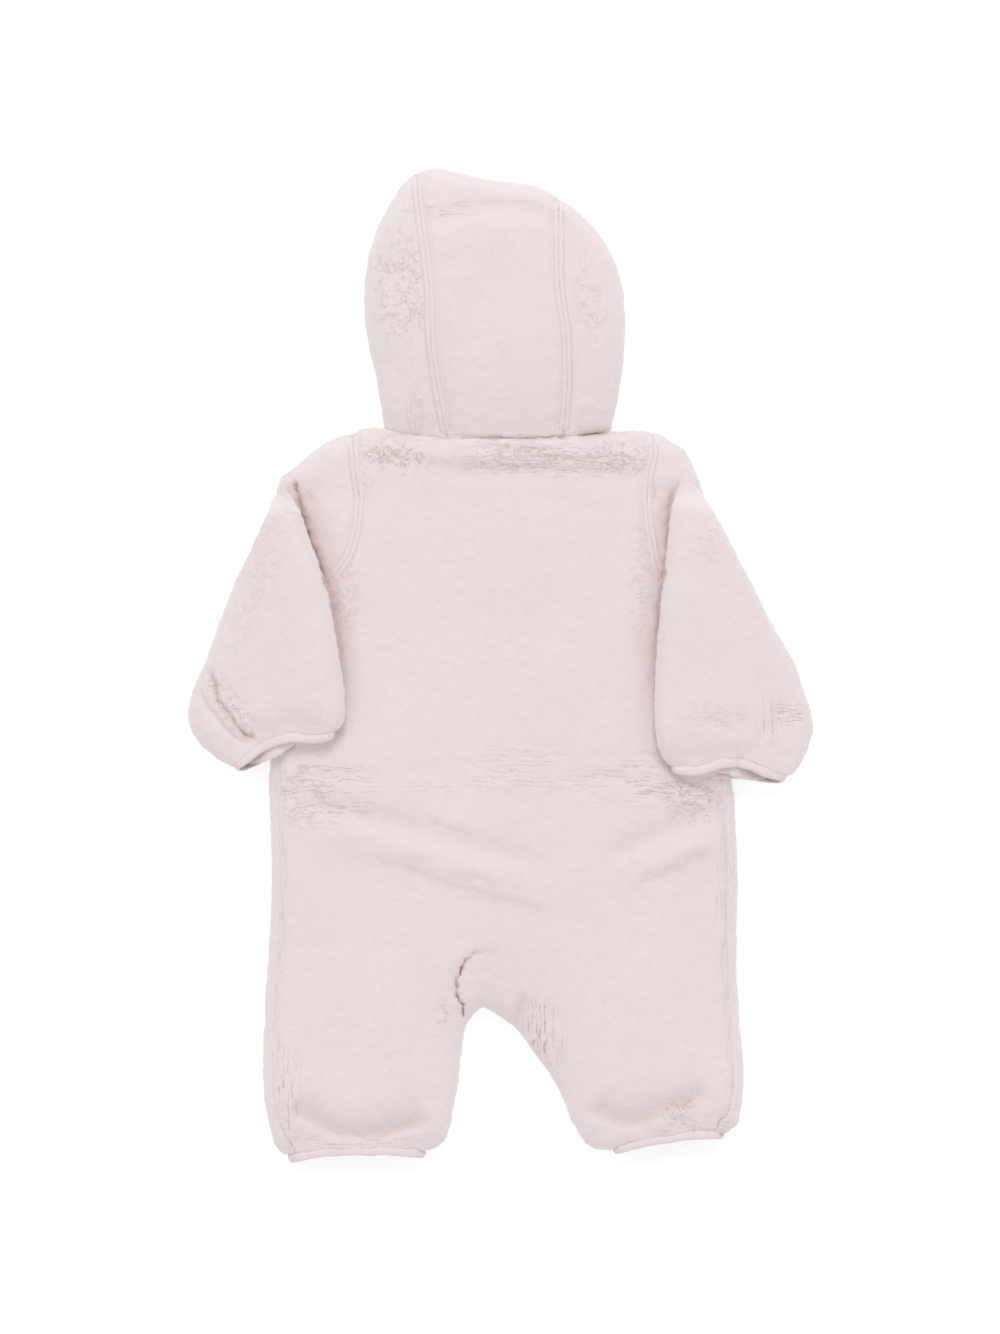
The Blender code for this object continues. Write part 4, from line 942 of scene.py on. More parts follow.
SEAMS = (
    Seam("hood_seam_left", ((-37, 159.3), (-40.5, 175), (-44, 195), (-47.5, 217), (-49, 240),
                            (-49.3, 262), (-51.5, 283), (-54, 301), (-55.8, 315), (-57.2, 327),
                            (-58.2, 336), (-59, 345)), (2.0, 4.5)),
    Seam("hood_seam_right", ((44, 160.2), (45.5, 176), (46.8, 195), (46.6, 214), (46, 233),
                             (43, 252), (41.2, 270), (41, 286), (41, 299), (41, 310), (41, 318.5),
                             (41, 327)), (2.0, 4.5)),
    Seam("armhole_left", ((-104, 160.8), (-103.3, 156.8), (-102, 146), (-101.2, 134),
                          (-98.8, 120), (-99.4, 103), (-102.2, 87.5), (-108, 73.5), (-119, 60),
                          (-132, 51.3)), (4.0, 16.0)),
    Seam("armhole_right", ((106.5, 160.5), (106.8, 156.5), (107, 146), (104, 133), (103, 118),
                           (104, 101), (106.6, 85), (110, 68), (117, 55.5), (128, 46.8)),
         (4.0, 25.0)),
    Seam("side_seam_left", ((-152.1, -28), (-154.2, -68), (-152, -138), (-153, -185),
                            (-155.8, -234), (-157.3, -262), (-156.8, -298), (-151.8, -322),
                            (-143.5, -336)), (46.0, 4.0), 3.2, 1.8, 0.15, 0.45, 0.9),
    Seam("side_seam_right", ((152.3, -28), (155.2, -80), (156.6, -130), (156.8, -180),
                             (158.2, -225), (160.6, -268), (161.3, -292), (158.4, -308),
                             (150, -318.5)), (56.0, 4.0), 3.2, 1.8, 0.22, 0.45, 0.9),
)


# ------------------------------------------------------------------ cloth
@dataclass
class Grown:
    """An even mesh grown on the form of some of the frame's solids."""

    name: str
    nodes: tuple[str, ...]
    voxel: float = 1.5
    piece: bpy.types.Object = field(init=False, default=None)
    points: np.ndarray = field(init=False, default=None)
    first: np.ndarray = field(init=False, default=None)
    second: np.ndarray = field(init=False, default=None)
    degree: np.ndarray = field(init=False, default=None)

    COARSER = 2.0
    PULL = 0.55         # each pass takes a point this far towards its neighbours' middle
    LIP_AT = 8.0        # the sleeve's top this far behind a cuff's mouth tells its lips apart
    LIP_DEEP = 10.0     # the lower lip lies this far under it or more
    LIP_OVER = 4.5      # the height over which the lower lip gives way to the upper

    def grow(self) -> None:
        """Make the mesh, and take its points, in millimetres, with their neighbours."""
        shape = bmesh.new()
        for name in self.nodes:
            shape.from_mesh(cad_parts[name].data)
        mesh = bpy.data.meshes.new(self.name)
        shape.to_mesh(mesh)
        shape.free()
        self.piece = bpy.data.objects.new(self.name, mesh)
        bpy.context.scene.collection.objects.link(self.piece)
        even = self.piece.modifiers.new("even", "REMESH")
        even.mode = "VOXEL"
        even.voxel_size = self.voxel * 1.0 * MM
        harden(self.piece)
        mesh = self.piece.data
        flat = np.empty(len(mesh.vertices) * 3, np.float32)
        mesh.vertices.foreach_get("co", flat)
        self.points = flat.reshape(-1, 3).astype(float) / MM
        edges = np.empty(len(mesh.edges) * 2, np.int32)
        mesh.edges.foreach_get("vertices", edges)
        edges = edges.reshape(-1, 2)
        self.first = np.concatenate([edges[:, 0], edges[:, 1]])
        self.second = np.concatenate([edges[:, 1], edges[:, 0]])
        self.degree = np.maximum(np.bincount(self.first, minlength=len(self.points)), 1)

    def middle(self, values: np.ndarray) -> np.ndarray:
        """Average values over each point's neighbours.

        Args:
            values: Values with three columns, a row for each point.

        Returns:
            The neighbours' mean for each point.
        """
        return np.column_stack([
            np.bincount(self.first, weights=values[self.second, k], minlength=len(values))
            / self.degree for k in range(3)])

    def relax(self, passes: int, held: np.ndarray | None = None) -> None:
        """Even out the facets by moving each point towards its neighbours' middle.

        Args:
            passes: How many times the points move.
            held: Which points stay, or none.
        """
        start = None if held is None else self.points[held].copy()
        for _ in range(passes):
            self.points += self.PULL * (self.middle(self.points) - self.points)
            if start is not None:
                self.points[held] = start

    def write(self) -> np.ndarray:
        """Put the points into the mesh.

        Returns:
            The normals there, one row each.
        """
        mesh = self.piece.data
        mesh.vertices.foreach_set("co", (self.points * MM).astype(np.float32).ravel())
        mesh.update()
        normals = np.empty(len(self.points) * 3, np.float32)
        mesh.vertices.foreach_get("normal", normals)
        return normals.reshape(-1, 3).astype(float)

    def droop(self) -> None:
        """Let the cloth hang out over the outline where it is slack."""
        for spot in DROOPS:
            self.points[:, :2] += spot.moved(self.points)

    def close_mouths(self) -> None:
        """Press the cuffs' upper lips down to the lower ones, and draw both back in an arch."""
        sleeves = node_tree(("sleeve_left", "sleeve_right"))
        felt = [mouth.felt(self.points) for mouth in MOUTHS]
        bowed = [arch.moved(self.points, np.full(len(self.points), 0.5)) for arch in ARCHES]
        upper = np.zeros(len(self.points))
        for index in np.flatnonzero(sum(felt) + sum(bowed) > 0.02).tolist():
            place = self.points[index]
            top = top_at(sleeves, place[0], place[1] + self.LIP_AT)
            if top is not None:
                upper[index] = float(ease((place[2] - top + self.LIP_DEEP) / self.LIP_OVER))
        bow = sum(arch.moved(self.points, upper) for arch in ARCHES)
        for mouth, share in zip(MOUTHS, felt):
            self.points[:, 2] += mouth.rise * share * upper
        self.points[:, 1] += bow

    def keep_up(self) -> None:
        """Keep every point over the floor."""
        self.points[:, 2] = np.maximum(self.points[:, 2], FLOOR)

    def complete(self, material: bpy.types.Material, slot: str) -> bpy.types.Object:
        """Give the piece its material, and let it stand for its solids.

        Args:
            material: The material.
            slot: The slot of the record that the piece takes its finish from; not used.

        Returns:
            The finished piece.
        """
        self.piece.data.shade_smooth()
        settle(self.piece, material)
        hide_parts(*self.nodes)
        LOG.info("%s: %d faces", self.name, len(self.piece.data.polygons))
        return self.piece


@dataclass(kw_only=True)
class Skin(Grown):
    """A piece of pile fleece: a fine wall of cloth."""

    flat: tuple[float, float]       # the size that it was cut to, in metres
    area: float                     # its flat area, in square metres
    folds: tuple[Crease, ...] = TOP_FOLDS
    patches: tuple[Patch, ...] = CRINKLES
    runs_out: Plan | None = None    # where a folded sleeve runs out on the shoulder
    sewn_reach: float = 2.0         # an edge is sewn to a piece that it faces nearer than this

    PASSES = 14
    PILE = 0.42         # how far the pile's lumps rise
    SWELL = 0.35        # the pile's own depth over the solid
    RIM = 1.2           # the pile stands out this far round the outline
    CLEAR = 2.2         # how far its own solid's face stands out from the evened cloth
    LEVEL = 9.5         # height at which the upper and the under cloth meet
    UPPER_OVER = 8.0    # the upper cloth feels its folds fully this far over it
    UNDER_OVER = 6.5    # the under cloth feels its own less and less over this height
    HOLLOW = 38.0       # cloth that faces other cloth nearer than this is hidden
    STEEP = 0.6         # cloth whose normal rises less than this may be an edge
    LOW = 13.5          # and so may all cloth under this height
    INSIDE = 0.5        # a ray that looks for the next piece starts this far inside
    LAP = 0.45          # how far each piece reaches into the next at a seam
    HEM_GAP = 12.0      # the cloth is drawn this far at most to meet a hem's binding
    DROPS = (0.0, -0.25, 0.25, -0.5)    # the slopes at which it looks for the binding
    FOLDED = 14.0       # a folded sleeve's own cloth lies higher than this
    SLOPE = 20.0        # the length over which its top comes down
    BEYOND = 5.0        # the shoulder's height is taken this far beyond it
    SPREAD = 0.4        # and this share as far to the side
    STAND = 0.3         # how far it stays over the shoulder
    SOFT = 19.0         # its end is evened out this far round where it runs out
    RELIEF = 0.6        # how far crinkled pile rises, and how deep its grooves are
    GROOVE = 0.16       # half a groove's width, in the noise's own measure
    FLAT_BELOW = 3.0    # the pile is pressed by the floor under this height
    PRESSED = 0.35      # the share of its rise that is left there
    FEWER = 0.84        # the share of the hidden faces that is dropped

    def sewn(self, normals: np.ndarray) -> np.ndarray:
        """Return how far each point of a sewn edge goes to meet the next piece.

        Args:
            normals: The normals at the points.

        Returns:
            The way in millimetres for each point, which is 0 where it isn't on a sewn edge.
        """
        others = node_tree([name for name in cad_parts
                            if name not in self.nodes and not name.startswith("zip")])
        hems = node_tree(("hem_left_binding", "hem_right_binding"))
        edge = np.flatnonzero((np.abs(normals[:, 2]) < self.STEEP)
                              | (self.points[:, 2] < self.LOW))
        starts = ((self.points[edge] - normals[edge] * self.INSIDE) * MM).tolist()
        push = np.zeros((len(self.points), 3))
        for index, start, way in zip(edge.tolist(), starts, normals[edge].tolist()):
            distance = others.ray_cast(start, way, (self.INSIDE + self.sewn_reach) * MM)[3]
            if distance is not None:
                half = max(distance / MM - self.INSIDE, 0.0) / 2
                push[index] = np.array(way) * (half + self.LAP)
            elif abs(way[2]) < 0.7 and way[1] < -0.3:
                for drop in self.DROPS:
                    straight = Vector((0.5 * way[0], -1.0, drop)).normalized()
                    distance = hems.ray_cast(start, straight, (self.INSIDE + self.HEM_GAP) * MM)[3]
                    if distance is not None:
                        gap = distance / MM - self.INSIDE
                        push[index] = np.array(straight) * (gap + self.LAP)
                        break
        return push

    def sew(self, push: np.ndarray, held: np.ndarray) -> None:
        """Push the sewn edges to the next pieces, and draw the cloth beside them along.

        Args:
            push: How far each point goes, in three columns.
            held: Which points are on a sewn edge.
        """
        for _ in range(6):
            drawn = self.middle(push)
            drawn[held] = push[held]
            push = drawn
        self.points += push

    def hidden(self, normals: np.ndarray, tree: BVHTree) -> np.ndarray:
        """Find the points that face other cloth at a short distance.

        Args:
            normals: The normals at the points.
            tree: The search tree of the solids round the hollows.

        Returns:
            Whether each point is hidden so.
        """
        reach = self.HOLLOW * MM
        starts = ((self.points + normals * self.CLEAR) * MM).tolist()
        return np.fromiter((tree.ray_cast(start, way, reach)[0] is not None
                            for start, way in zip(starts, normals.tolist())), bool, len(starts))

    def lay_down(self) -> None:
        """Let the top of a folded sleeve run out level with the shoulder under it."""
        shoulders = node_tree(("back", "sleeve_left_head", "sleeve_right_head"))
        start = self.runs_out[1] - self.SLOPE - 4.0
        folded = np.flatnonzero((self.points[:, 1] > start) & (self.points[:, 2] > self.FOLDED))
        for index in folded.tolist():
            place = self.points[index]
            beyond = self.runs_out[0] + self.SPREAD * (place[0] - self.runs_out[0])
            top = top_at(shoulders, beyond, self.runs_out[1] + self.BEYOND)
            level = (self.FOLDED + 1.0 if top is None else top) + self.STAND
            if place[2] > level:
                share = float(ease((place[1] - start) / self.SLOPE))
                self.points[index, 2] = level + (place[2] - level) * (1.0 - share)
        away = np.hypot(*(self.points[:, :2] - np.array(self.runs_out)).T)
        self.relax(60, (away > self.SOFT) | (self.points[:, 2] < self.FOLDED / 2))

    def bend(self) -> np.ndarray:
        """Lift and sink the cloth along its folds, both faces together.

        Returns:
            How strongly shade is painted at each point, from 0 to 1.
        """
        weight = ease((self.points[:, 2] - self.LEVEL) / self.UPPER_OVER)
        lift = np.zeros(len(self.points))
        recess_shade = np.zeros(len(self.points))
        for fold in self.folds:
            felt = fold.felt(self.points)
            lift += fold.rise * felt
            recess_shade = np.maximum(recess_shade, fold.deep * felt)
        lower = 1.0 - ease((self.points[:, 2] - 1.0) / self.UNDER_OVER)
        raised = sum(fold.rise * fold.felt(self.points) for fold in UNDER_FOLDS)
        self.points[:, 2] += lift * weight + raised * lower
        return recess_shade * weight

    def beside_seams(self, index: np.ndarray) -> Iterator[tuple[Seam, np.ndarray, np.ndarray]]:
        """Find the points beside each seam.

        Args:
            index: The numbers of the points to look among.

        Yields:
            Each seam that has points near it, their numbers, and how far each lies from it.
        """
        for seam in SEAMS:
            line = seam.points(3.0)
            near = index[near_line(self.points[index], line, 2 * seam.half)]
            if len(near):
                yield seam, near, np.abs(to_line(self.points[near], line)[0])

    def press_seams(self, hidden: np.ndarray, normals: np.ndarray) -> None:
        """Sink the cloth along its seams, where the stitching presses the pile.

        Args:
            hidden: Which points face other cloth.
            normals: The normals at the points.
        """
        upper = ~hidden & (normals[:, 2] > 0.15) & (self.points[:, 2] > self.LEVEL)
        for seam, near, away in self.beside_seams(np.flatnonzero(upper)):
            sink = seam.sink * ease((seam.half + 2.2 - away) / 2.6)
            self.points[near] -= normals[near] * sink[:, None]

    def calm(self, shown: np.ndarray) -> np.ndarray:
        """Measure how freely the pile stands.

        Args:
            shown: The numbers of the points that show.

        Returns:
            A value for each of them, from 0 under a seam's band to 1.
        """
        free = np.ones(len(self.points))
        for seam, near, away in self.beside_seams(shown[self.points[shown, 2] > self.LEVEL]):
            free[near] = np.minimum(free[near], ease((away - seam.half) / 2.0))
        return free[shown]

    def raise_pile(self, hidden: np.ndarray, normals: np.ndarray) -> dict[Run, np.ndarray]:
        """Raise the pile over the cloth that shows, and crinkle it in its patches.

        Args:
            hidden: Which points face other cloth.
            normals: The normals at the points.

        Returns:
            The strength of the crinkles at each point, by the direction in which they run.
        """
        shown = np.flatnonzero(~hidden)
        places = self.points[shown]
        outline = 1.0 - ease((np.abs(normals[shown, 2]) - 0.2) / 0.5)
        turned = places @ ASKEW
        rise = self.PILE * ((1.0 - 0.5 * outline) * noise_at(turned, 8.5, 11.0)
                            + (0.75 + 0.9 * outline) * noise_at(turned, 4.2, 5.0))
        rise += self.RIM * outline
        weights = {}
        on_top = ease((places[:, 2] - self.LEVEL) / 4.0)
        for run in Run:
            felt = np.zeros(len(places))
            for patch in self.patches:
                if patch.run is run:
                    felt = np.maximum(felt, patch.mask(places))
            felt *= on_top
            lumps = noise_at(places, run.value, 20.0 + run.value[1])
            grooves = np.exp(-(lumps / self.GROOVE) ** 2)
            rise += felt * (self.RELIEF * np.abs(lumps) - self.RELIEF * grooves + 0.1)
            weights[run] = np.zeros(len(self.points))
            weights[run][shown] = felt
        rise[places[:, 2] < self.FLAT_BELOW] *= self.PRESSED
        rise *= self.calm(shown)
        self.points[shown] += normals[shown] * (rise + self.SWELL)[:, None]
        self.keep_up()
        return weights

    def thin(self, hidden: np.ndarray) -> None:
        """Use fewer faces on the hidden side of the cloth.

        Args:
            hidden: Which points face other cloth.
        """
        group = self.piece.vertex_groups.new(name="hidden")
        inner = np.flatnonzero(hidden)
        group.add(inner.tolist(), 1.0, "REPLACE")
        fewer = self.piece.modifiers.new("fewer", "DECIMATE")
        fewer.ratio = 1.0 - self.FEWER * (len(inner) / len(hidden))
        fewer.vertex_group = group.name
        harden(self.piece)
        self.piece.vertex_groups.clear()

    def build(self, tree: BVHTree, finishes: Finishes) -> bpy.types.Object:
        """Make the piece.

        Args:
            tree: The search tree of the solids round the hollows.
            finishes: The suit's finishes.

        Returns:
            The finished piece.
        """
        self.grow()
        push = self.sewn(self.write())
        held = push.any(axis=1)
        self.relax(self.PASSES, held)
        self.sew(push, held)
        self.relax(1)
        hidden = self.hidden(self.write(), tree) | held
        if self.runs_out is not None:
            self.close_mouths()
            self.lay_down()
        self.droop()
        recess_shade = self.bend()
        self.press_seams(hidden, self.write())
        weights = self.raise_pile(hidden, self.write())
        self.relax(1, held)
        self.write()
        for run, weight in weights.items():
            write_field(self.piece, run.field(), weight)
        # the painted shade of the folds, for the fleece's material
        write_field(self.piece, "recess_shade", recess_shade)
        self.thin(hidden)
        return self.complete(finishes.fleece, "fleece")

    def declare(self, extras: Sequence[bpy.types.Object]) -> None:
        """Unpack the piece's flat size and list its extras; nothing is declared.

        Args:
            extras: The pieces that go with it; not used.
        """
        width, length = self.flat
        list(extras)


@dataclass
class Binding(Grown):
    """The stretch binding at a cuff, a hem or the face opening.

    A hem's cloth side is a tongue that reaches into the pile fleece, which blouses over it.
    """

    voxel: float = 0.8
    inward: Plan = (0.0, 1.0)
    bow: float = 0.0            # how far the middle lies in from the ends

    PASSES = 16
    TONGUE = 2.6                # how far a hem's tongue reaches in
    RIPPLE = 0.9                # how far the band wanders
    OPEN_FROM = 160.0           # a cuff's mouth stands open further out than this

    def wander(self, normals: np.ndarray) -> None:
        """Give the smooth band its soft waves, and its tongue into the fleece.

        Args:
            normals: The normals at the points.
        """
        wave = (0.22 * noise_at(self.points, 9.0, 2.0) + 0.12 * noise_at(self.points, 4.0, 6.0)
                + 0.2)
        if any(self.inward):
            near = ease((normals[:, :2] @ np.array(self.inward) - 0.1) / 0.5)
            wave -= 0.45 * near
            push = np.outer(near * self.TONGUE, (*self.inward, 0.0))
            for _ in range(3):
                push = 0.5 * (push + self.middle(push))
            self.points += push
        self.points += normals * wave[:, None]
        ripple = noise_at(self.points * (1.0, 1.0, 0.2), 14.0, 9.0)
        self.points[:, :2] += self.RIPPLE * np.outer(ripple, self.inward)

    def build(self, finishes: Finishes) -> bpy.types.Object:
        """Make the binding.

        Args:
            finishes: The suit's finishes.

        Returns:
            The finished piece.
        """
        cuff = self.name.startswith("cuff")
        self.grow()
        self.relax(self.PASSES)
        if cuff:
            self.close_mouths()
            self.relax(5)
        self.wander(self.write())
        if self.bow:
            across = self.points[:, :2] @ np.array((self.inward[1], -self.inward[0]))
            share = 2.0 * (across - across.min()) / np.ptp(across) - 1.0
            self.points[:, :2] += self.bow * np.outer(0.6 - share ** 2, self.inward)
            self.droop()
        self.keep_up()
        normals = self.write()
        if cuff:
            self.shade(normals)
        return self.complete(finishes.binding, "binding")

    def shade(self, normals: np.ndarray) -> None:
        """Paint shadow where a cuff's mouth opens into the dark of the sleeve, under its upper
        lip.

        Args:
            normals: The normals at the points.
        """
        own = tree_of((self.piece.data,))
        deep = np.zeros(len(self.points))
        for index in np.flatnonzero(normals[:, 2] > 0.1).tolist():
            start = (Vector(self.points[index]) + 0.4 * Vector(normals[index])) * MM
            if own.ray_cast(start, UP, 25.0 * MM)[0] is not None:
                deep[index] = 1.0
        for _ in range(10):
            deep = 0.5 * (deep + self.middle(np.repeat(deep[:, None], 3, axis=1))[:, 0])
        # the painted shadow is strongest at the mouth's outer end
        deep *= 0.25 + 0.75 * ease((np.abs(self.points[:, 0]) - self.OPEN_FROM) / 14.0)
        write_field(self.piece, "mouth_shadow", deep)


# ------------------------------------------------------------------ bands and stitches
class Stitcher:
    """Lays the twin-needle seams over the cloth: a pressed band and two rows of stitches."""

    STEP = 1.25             # between the band's rows
    COLUMNS = 25
    RUN_IN = 3.0            # over this length the band rises at its ends
    GROOVE = 0.62           # half the width of the groove under a row of stitches
    JOINT = 0.55            # half the width of the joint between the two cloths
    TUCK = 1.3              # the width of the band's tucked edges
    FINE = 0.8              # between the points at which the stitches' line is known
    STITCH = 2.5            # length of a stitch, and from one to the next
    PITCH = 3.2
    FIRST = (4.0, 4.8)      # where the first stitch of each row starts
    THREAD = 0.3            # radius of the thread
    SUNK, BOW = 0.12, 0.34  # how deep its ends lie, and how far its middle stands up
    SIDES, RINGS = 6, 6     # of a stitch
    SEARCH = 3.5            # the cloth lies within this height over its solid

    def __init__(self, pieces: Sequence[bpy.types.Object], guide: BVHTree) -> None:
        """Take the finished skins, and the solids that say how high each seam lies."""
        self.tree = tree_of(piece.data for piece in pieces)
        self.guide = guide

    def height(self, spot: np.ndarray) -> float:
        """Measure how high the cloth's surface lies.

        Args:
            spot: The spot in plan.

        Returns:
            The height in millimetres.
        """
        top = top_at(self.guide, *spot)
        expected = 20.0 if top is None else top
        start = Vector((*spot, expected + self.SEARCH)) * MM
        near = self.tree.ray_cast(start, DOWN, 9.0 * MM)[0]
        return expected if near is None else near.z / MM

    def rails(self, line: np.ndarray, half: float) -> tuple[np.ndarray, np.ndarray, np.ndarray]:
        """Measure the cloth on both sides of a seam.

        Args:
            line: The seam's points in plan, one row each.
            half: Half the width of the seam's band.

        Returns:
            The sideways directions along the seam, and the cloth's heights on its left and right.
        """
        along = np.gradient(line, axis=0)
        along /= np.linalg.norm(along, axis=1)[:, None]
        sideways = np.column_stack([-along[:, 1], along[:, 0]])
        heights = []
        for sign in (1.0, -1.0):
            row = np.array([self.height(spot + way * sign * (half - 0.6))
                            for spot, way in zip(line, sideways)])
            padded = np.pad(row, 2, mode="edge")
            heights.append(np.convolve(padded, np.ones(5) / 5, mode="valid"))
        return sideways, heights[0], heights[1]

    def band(self, seam: Seam, finishes: Finishes) -> bpy.types.Object:
        """Make a seam's pressed band, with a groove under each row of stitches and shade painted
        into the grooves and the joint.

        Args:
            seam: The seam.
            finishes: The suit's finishes.

        Returns:
            The band.
        """
        line = seam.points(self.STEP)
        sideways, left, right = self.rails(line, seam.half)
        offsets = np.linspace(-seam.half, seam.half, self.COLUMNS)
        rows, recess_shade = [], []
        for row, (spot, way, high, low) in enumerate(zip(line, sideways, left, right)):
            to_end = min(row, len(line) - 1 - row) * self.STEP
            rise = seam.rise - 1.6 * (1.0 - float(ease(to_end / self.RUN_IN)))
            for offset in offsets:
                share = 0.5 + 0.5 * offset / seam.half
                groove = seam.rise * math.exp(-((abs(offset) - seam.needle) / self.GROOVE) ** 2)
                to_edge = (abs(offset) - seam.half + self.TUCK) / self.TUCK
                tuck = 1.7 * seam.rise * float(ease(to_edge))
                joint = 0.8 * seam.rise * math.exp(-(offset / self.JOINT) ** 2)
                place = spot + way * offset
                rows.append((place[0], place[1], low + (high - low) * share + rise
                             - joint - groove - tuck))
                # painted shade in the grooves and the joint
                recess_shade.append(seam.mark * (groove + joint) / seam.rise)
        points = np.array(rows)
        points[:, 2] += 0.12 * noise_at(points, (3.0, 3.0, 9.0), 4.0)
        upward = [(a, d, c, b) for a, b, c, d in grid_faces(len(line), self.COLUMNS)]
        shape = mesh_from(seam.name, points, upward)
        write_field(shape, "recess_shade", recess_shade)
        LOG.info("%s: %d rows", seam.name, len(line))
        return settle(shape, finishes.fleece)

    def stitches(self, seam: Seam, finishes: Finishes) -> bpy.types.Object:
        """Make a seam's two rows of stitches, each a short sunk length of thread.

        Args:
            seam: The seam.
            finishes: The suit's finishes.

        Returns:
            Both rows, as one piece.
        """
        line = seam.points(self.FINE)
        sideways, left, right = self.rails(line, seam.half)
        lengths = np.arange(len(line)) * self.FINE
        points: list[tuple[float, float, float]] = []
        faces: Faces = []
        last = (self.RINGS - 1) * self.SIDES
        for sign, start in zip((1.0, -1.0), self.FIRST):
            mix = 0.5 + 0.5 * sign * seam.needle / seam.half
            heights = right + (left - right) * mix
            while start + self.STITCH < lengths[-1] - self.RUN_IN:
                first = len(points)
                for share in np.linspace(0.0, 1.0, self.RINGS):
                    at = start + share * self.STITCH
                    spot, way = (np.array([np.interp(at, lengths, rail[:, k]) for k in (0, 1)])
                                 for rail in (line, sideways))
                    bow = math.sin(math.pi * share)
                    level = np.interp(at, lengths, heights) - self.SUNK + self.BOW * bow
                    centre = np.append(spot + way * sign * seam.needle, level)
                    radius = self.THREAD * (0.45 + 0.55 * bow)
                    for k in range(self.SIDES):
                        angle = math.tau * k / self.SIDES
                        side = way * math.cos(angle) * radius
                        points.append((centre[0] + side[0], centre[1] + side[1],
                                       centre[2] + math.sin(angle) * radius))
                faces += grid_faces(self.RINGS, self.SIDES, first, closed=True)
                faces.append(tuple(first + k for k in reversed(range(self.SIDES))))
                faces.append(tuple(first + last + k for k in range(self.SIDES)))
                start += self.PITCH
        piece = mesh_from(seam.name + "_stitches", np.array(points), faces)
        return settle(piece, finishes.thread)


# ------------------------------------------------------------------ zip
@dataclass
class ZipFastener:
    """The centre-front zip: two woven tapes, the closed coil, the slider and its pull."""

    centre: float = -2.0
    top: float = 143.0
    end: float = -197.0
    narrow_from: float = -184.0     # below this the fronts close over the tapes
    slider_at: float = 137.0
    tape_out: float = 8.5
    tape_end: float = 2.6           # where the narrowed tape ends
    tape_low: float = 2.75
    tape_high: float = 3.8
    weave: float = 1.1              # from one row of the tape's points to the next
    pitch: float = 1.5              # of the coil
    wire: float = 0.26              # radius of its thread
    loop: Plan = (1.25, 0.62)       # half its width and height
    loop_at: Plan = (0.9, 1.95)     # its middle, beside the zip's own and over the floor

    def tape(self, side: int, name: str, node: str, finishes: Finishes) -> bpy.types.Object:
        """Make one tape, ribbed across.

        Args:
            side: -1 for the suit's left side, 1 for its right.
            name: The tape's name.
            node: The node that it stands for.
            finishes: The suit's finishes.

        Returns:
            The tape.
        """
        rows = int((self.top - self.end) / self.weave)
        columns = 9
        points = []
        notch = self.slider_at - 4.8
        for level, rib in ((self.tape_low, 1.0), (self.tape_high, 0.0)):
            for j in range(rows + 1):
                y = self.end + (self.top - self.end) * j / rows
                inner = 3.5 if y > notch else 1.3
                below = max(self.narrow_from - y, 0.0) / (self.narrow_from - self.end)
                outer = self.tape_out - (self.tape_out - self.tape_end) * below
                for i in range(columns):
                    x = inner + (outer - inner) * i / (columns - 1)
                    wave = 0.06 * math.sin(j * 1.9) + 0.05 * math.cos(i * 2.4)
                    points.append((self.centre + side * x, y, level + rib * wave))
        size = (rows + 1) * columns
        faces = [quad[::-1] for quad in grid_faces(rows + 1, columns)]
        faces += grid_faces(rows + 1, columns, size)
        for j in range(rows):
            for i in (0, columns - 1):
                a = j * columns + i
                quad = (a, a + columns, a + columns + size, a + size)
                faces.append(quad if i == 0 else quad[::-1])
        for j in (0, rows):
            for i in range(columns - 1):
                a = j * columns + i
                quad = (a, a + 1, a + 1 + size, a + size)
                faces.append(quad[::-1] if j == 0 else quad)
        piece = mesh_from(name, np.array(points), faces)
        face_out(piece)
        settle(piece, finishes.tape)
        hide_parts(node)
        return piece

    def coil(self, side: int, name: str, finishes: Finishes) -> bpy.types.Object:
        """Make one half of the coil: a flattened spring of thread along the tape's edge.

        Args:
            side: -1 for the suit's left side, 1 for its right.
            name: The coil's name.
            finishes: The suit's finishes.

        Returns:
            The coil.
        """
        start, stop = self.end + 2.0, self.slider_at - 5.2
        ring, around = 12, 5
        count = int((stop - start) / self.pitch) * ring
        offset = 0.0 if side > 0 else 0.5
        points = []
        for step in range(count + 1):
            turn = step / ring
            angle = math.tau * turn
            y = start + self.pitch * (turn + offset)
            x = self.loop_at[0] + self.loop[0] * math.cos(angle)
            z = self.loop_at[1] + self.loop[1] * math.sin(angle)
            for k in range(around):
                tilt = math.tau * k / around
                out = self.wire * math.cos(tilt)
                points.append((self.centre + side * (x + out * math.cos(angle)),
                               y + self.wire * math.sin(tilt), z + out * math.sin(angle)))
        faces = grid_faces(count + 1, around, closed=True)
        piece = mesh_from(name, np.array(points), faces)
        face_out(piece, fill=True)
        return settle(piece, finishes.coil)

    def metal(self, finishes: Finishes) -> None:
        """Round the slider's and the pull's edges and paint them.

        Args:
            finishes: The suit's finishes.
        """
        for node, width in (("zip_slider", 0.5), ("zip_pull", 0.25)):
            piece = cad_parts[node]
            soften = piece.modifiers.new("edges", "BEVEL")
            soften.width = width * MM
            soften.segments = 3
            soften.limit_method = "ANGLE"
            soften.angle_limit = math.radians(40)
            piece.data.materials.clear()
            piece.data.materials.append(finishes.metal)

    def build(self, finishes: Finishes) -> dict[str, list[bpy.types.Object]]:
        """Make the zip.

        Args:
            finishes: The suit's finishes.

        Returns:
            Its soft pieces, by the front that they are sewn to.
        """
        self.metal(finishes)
        return {word: [self.tape(side, f"tape_{word}", f"zip_tape_{word}", finishes),
                       self.coil(side, f"coil_{word}", finishes)]
                for side, word in ((-1, "left"), (1, "right"))}


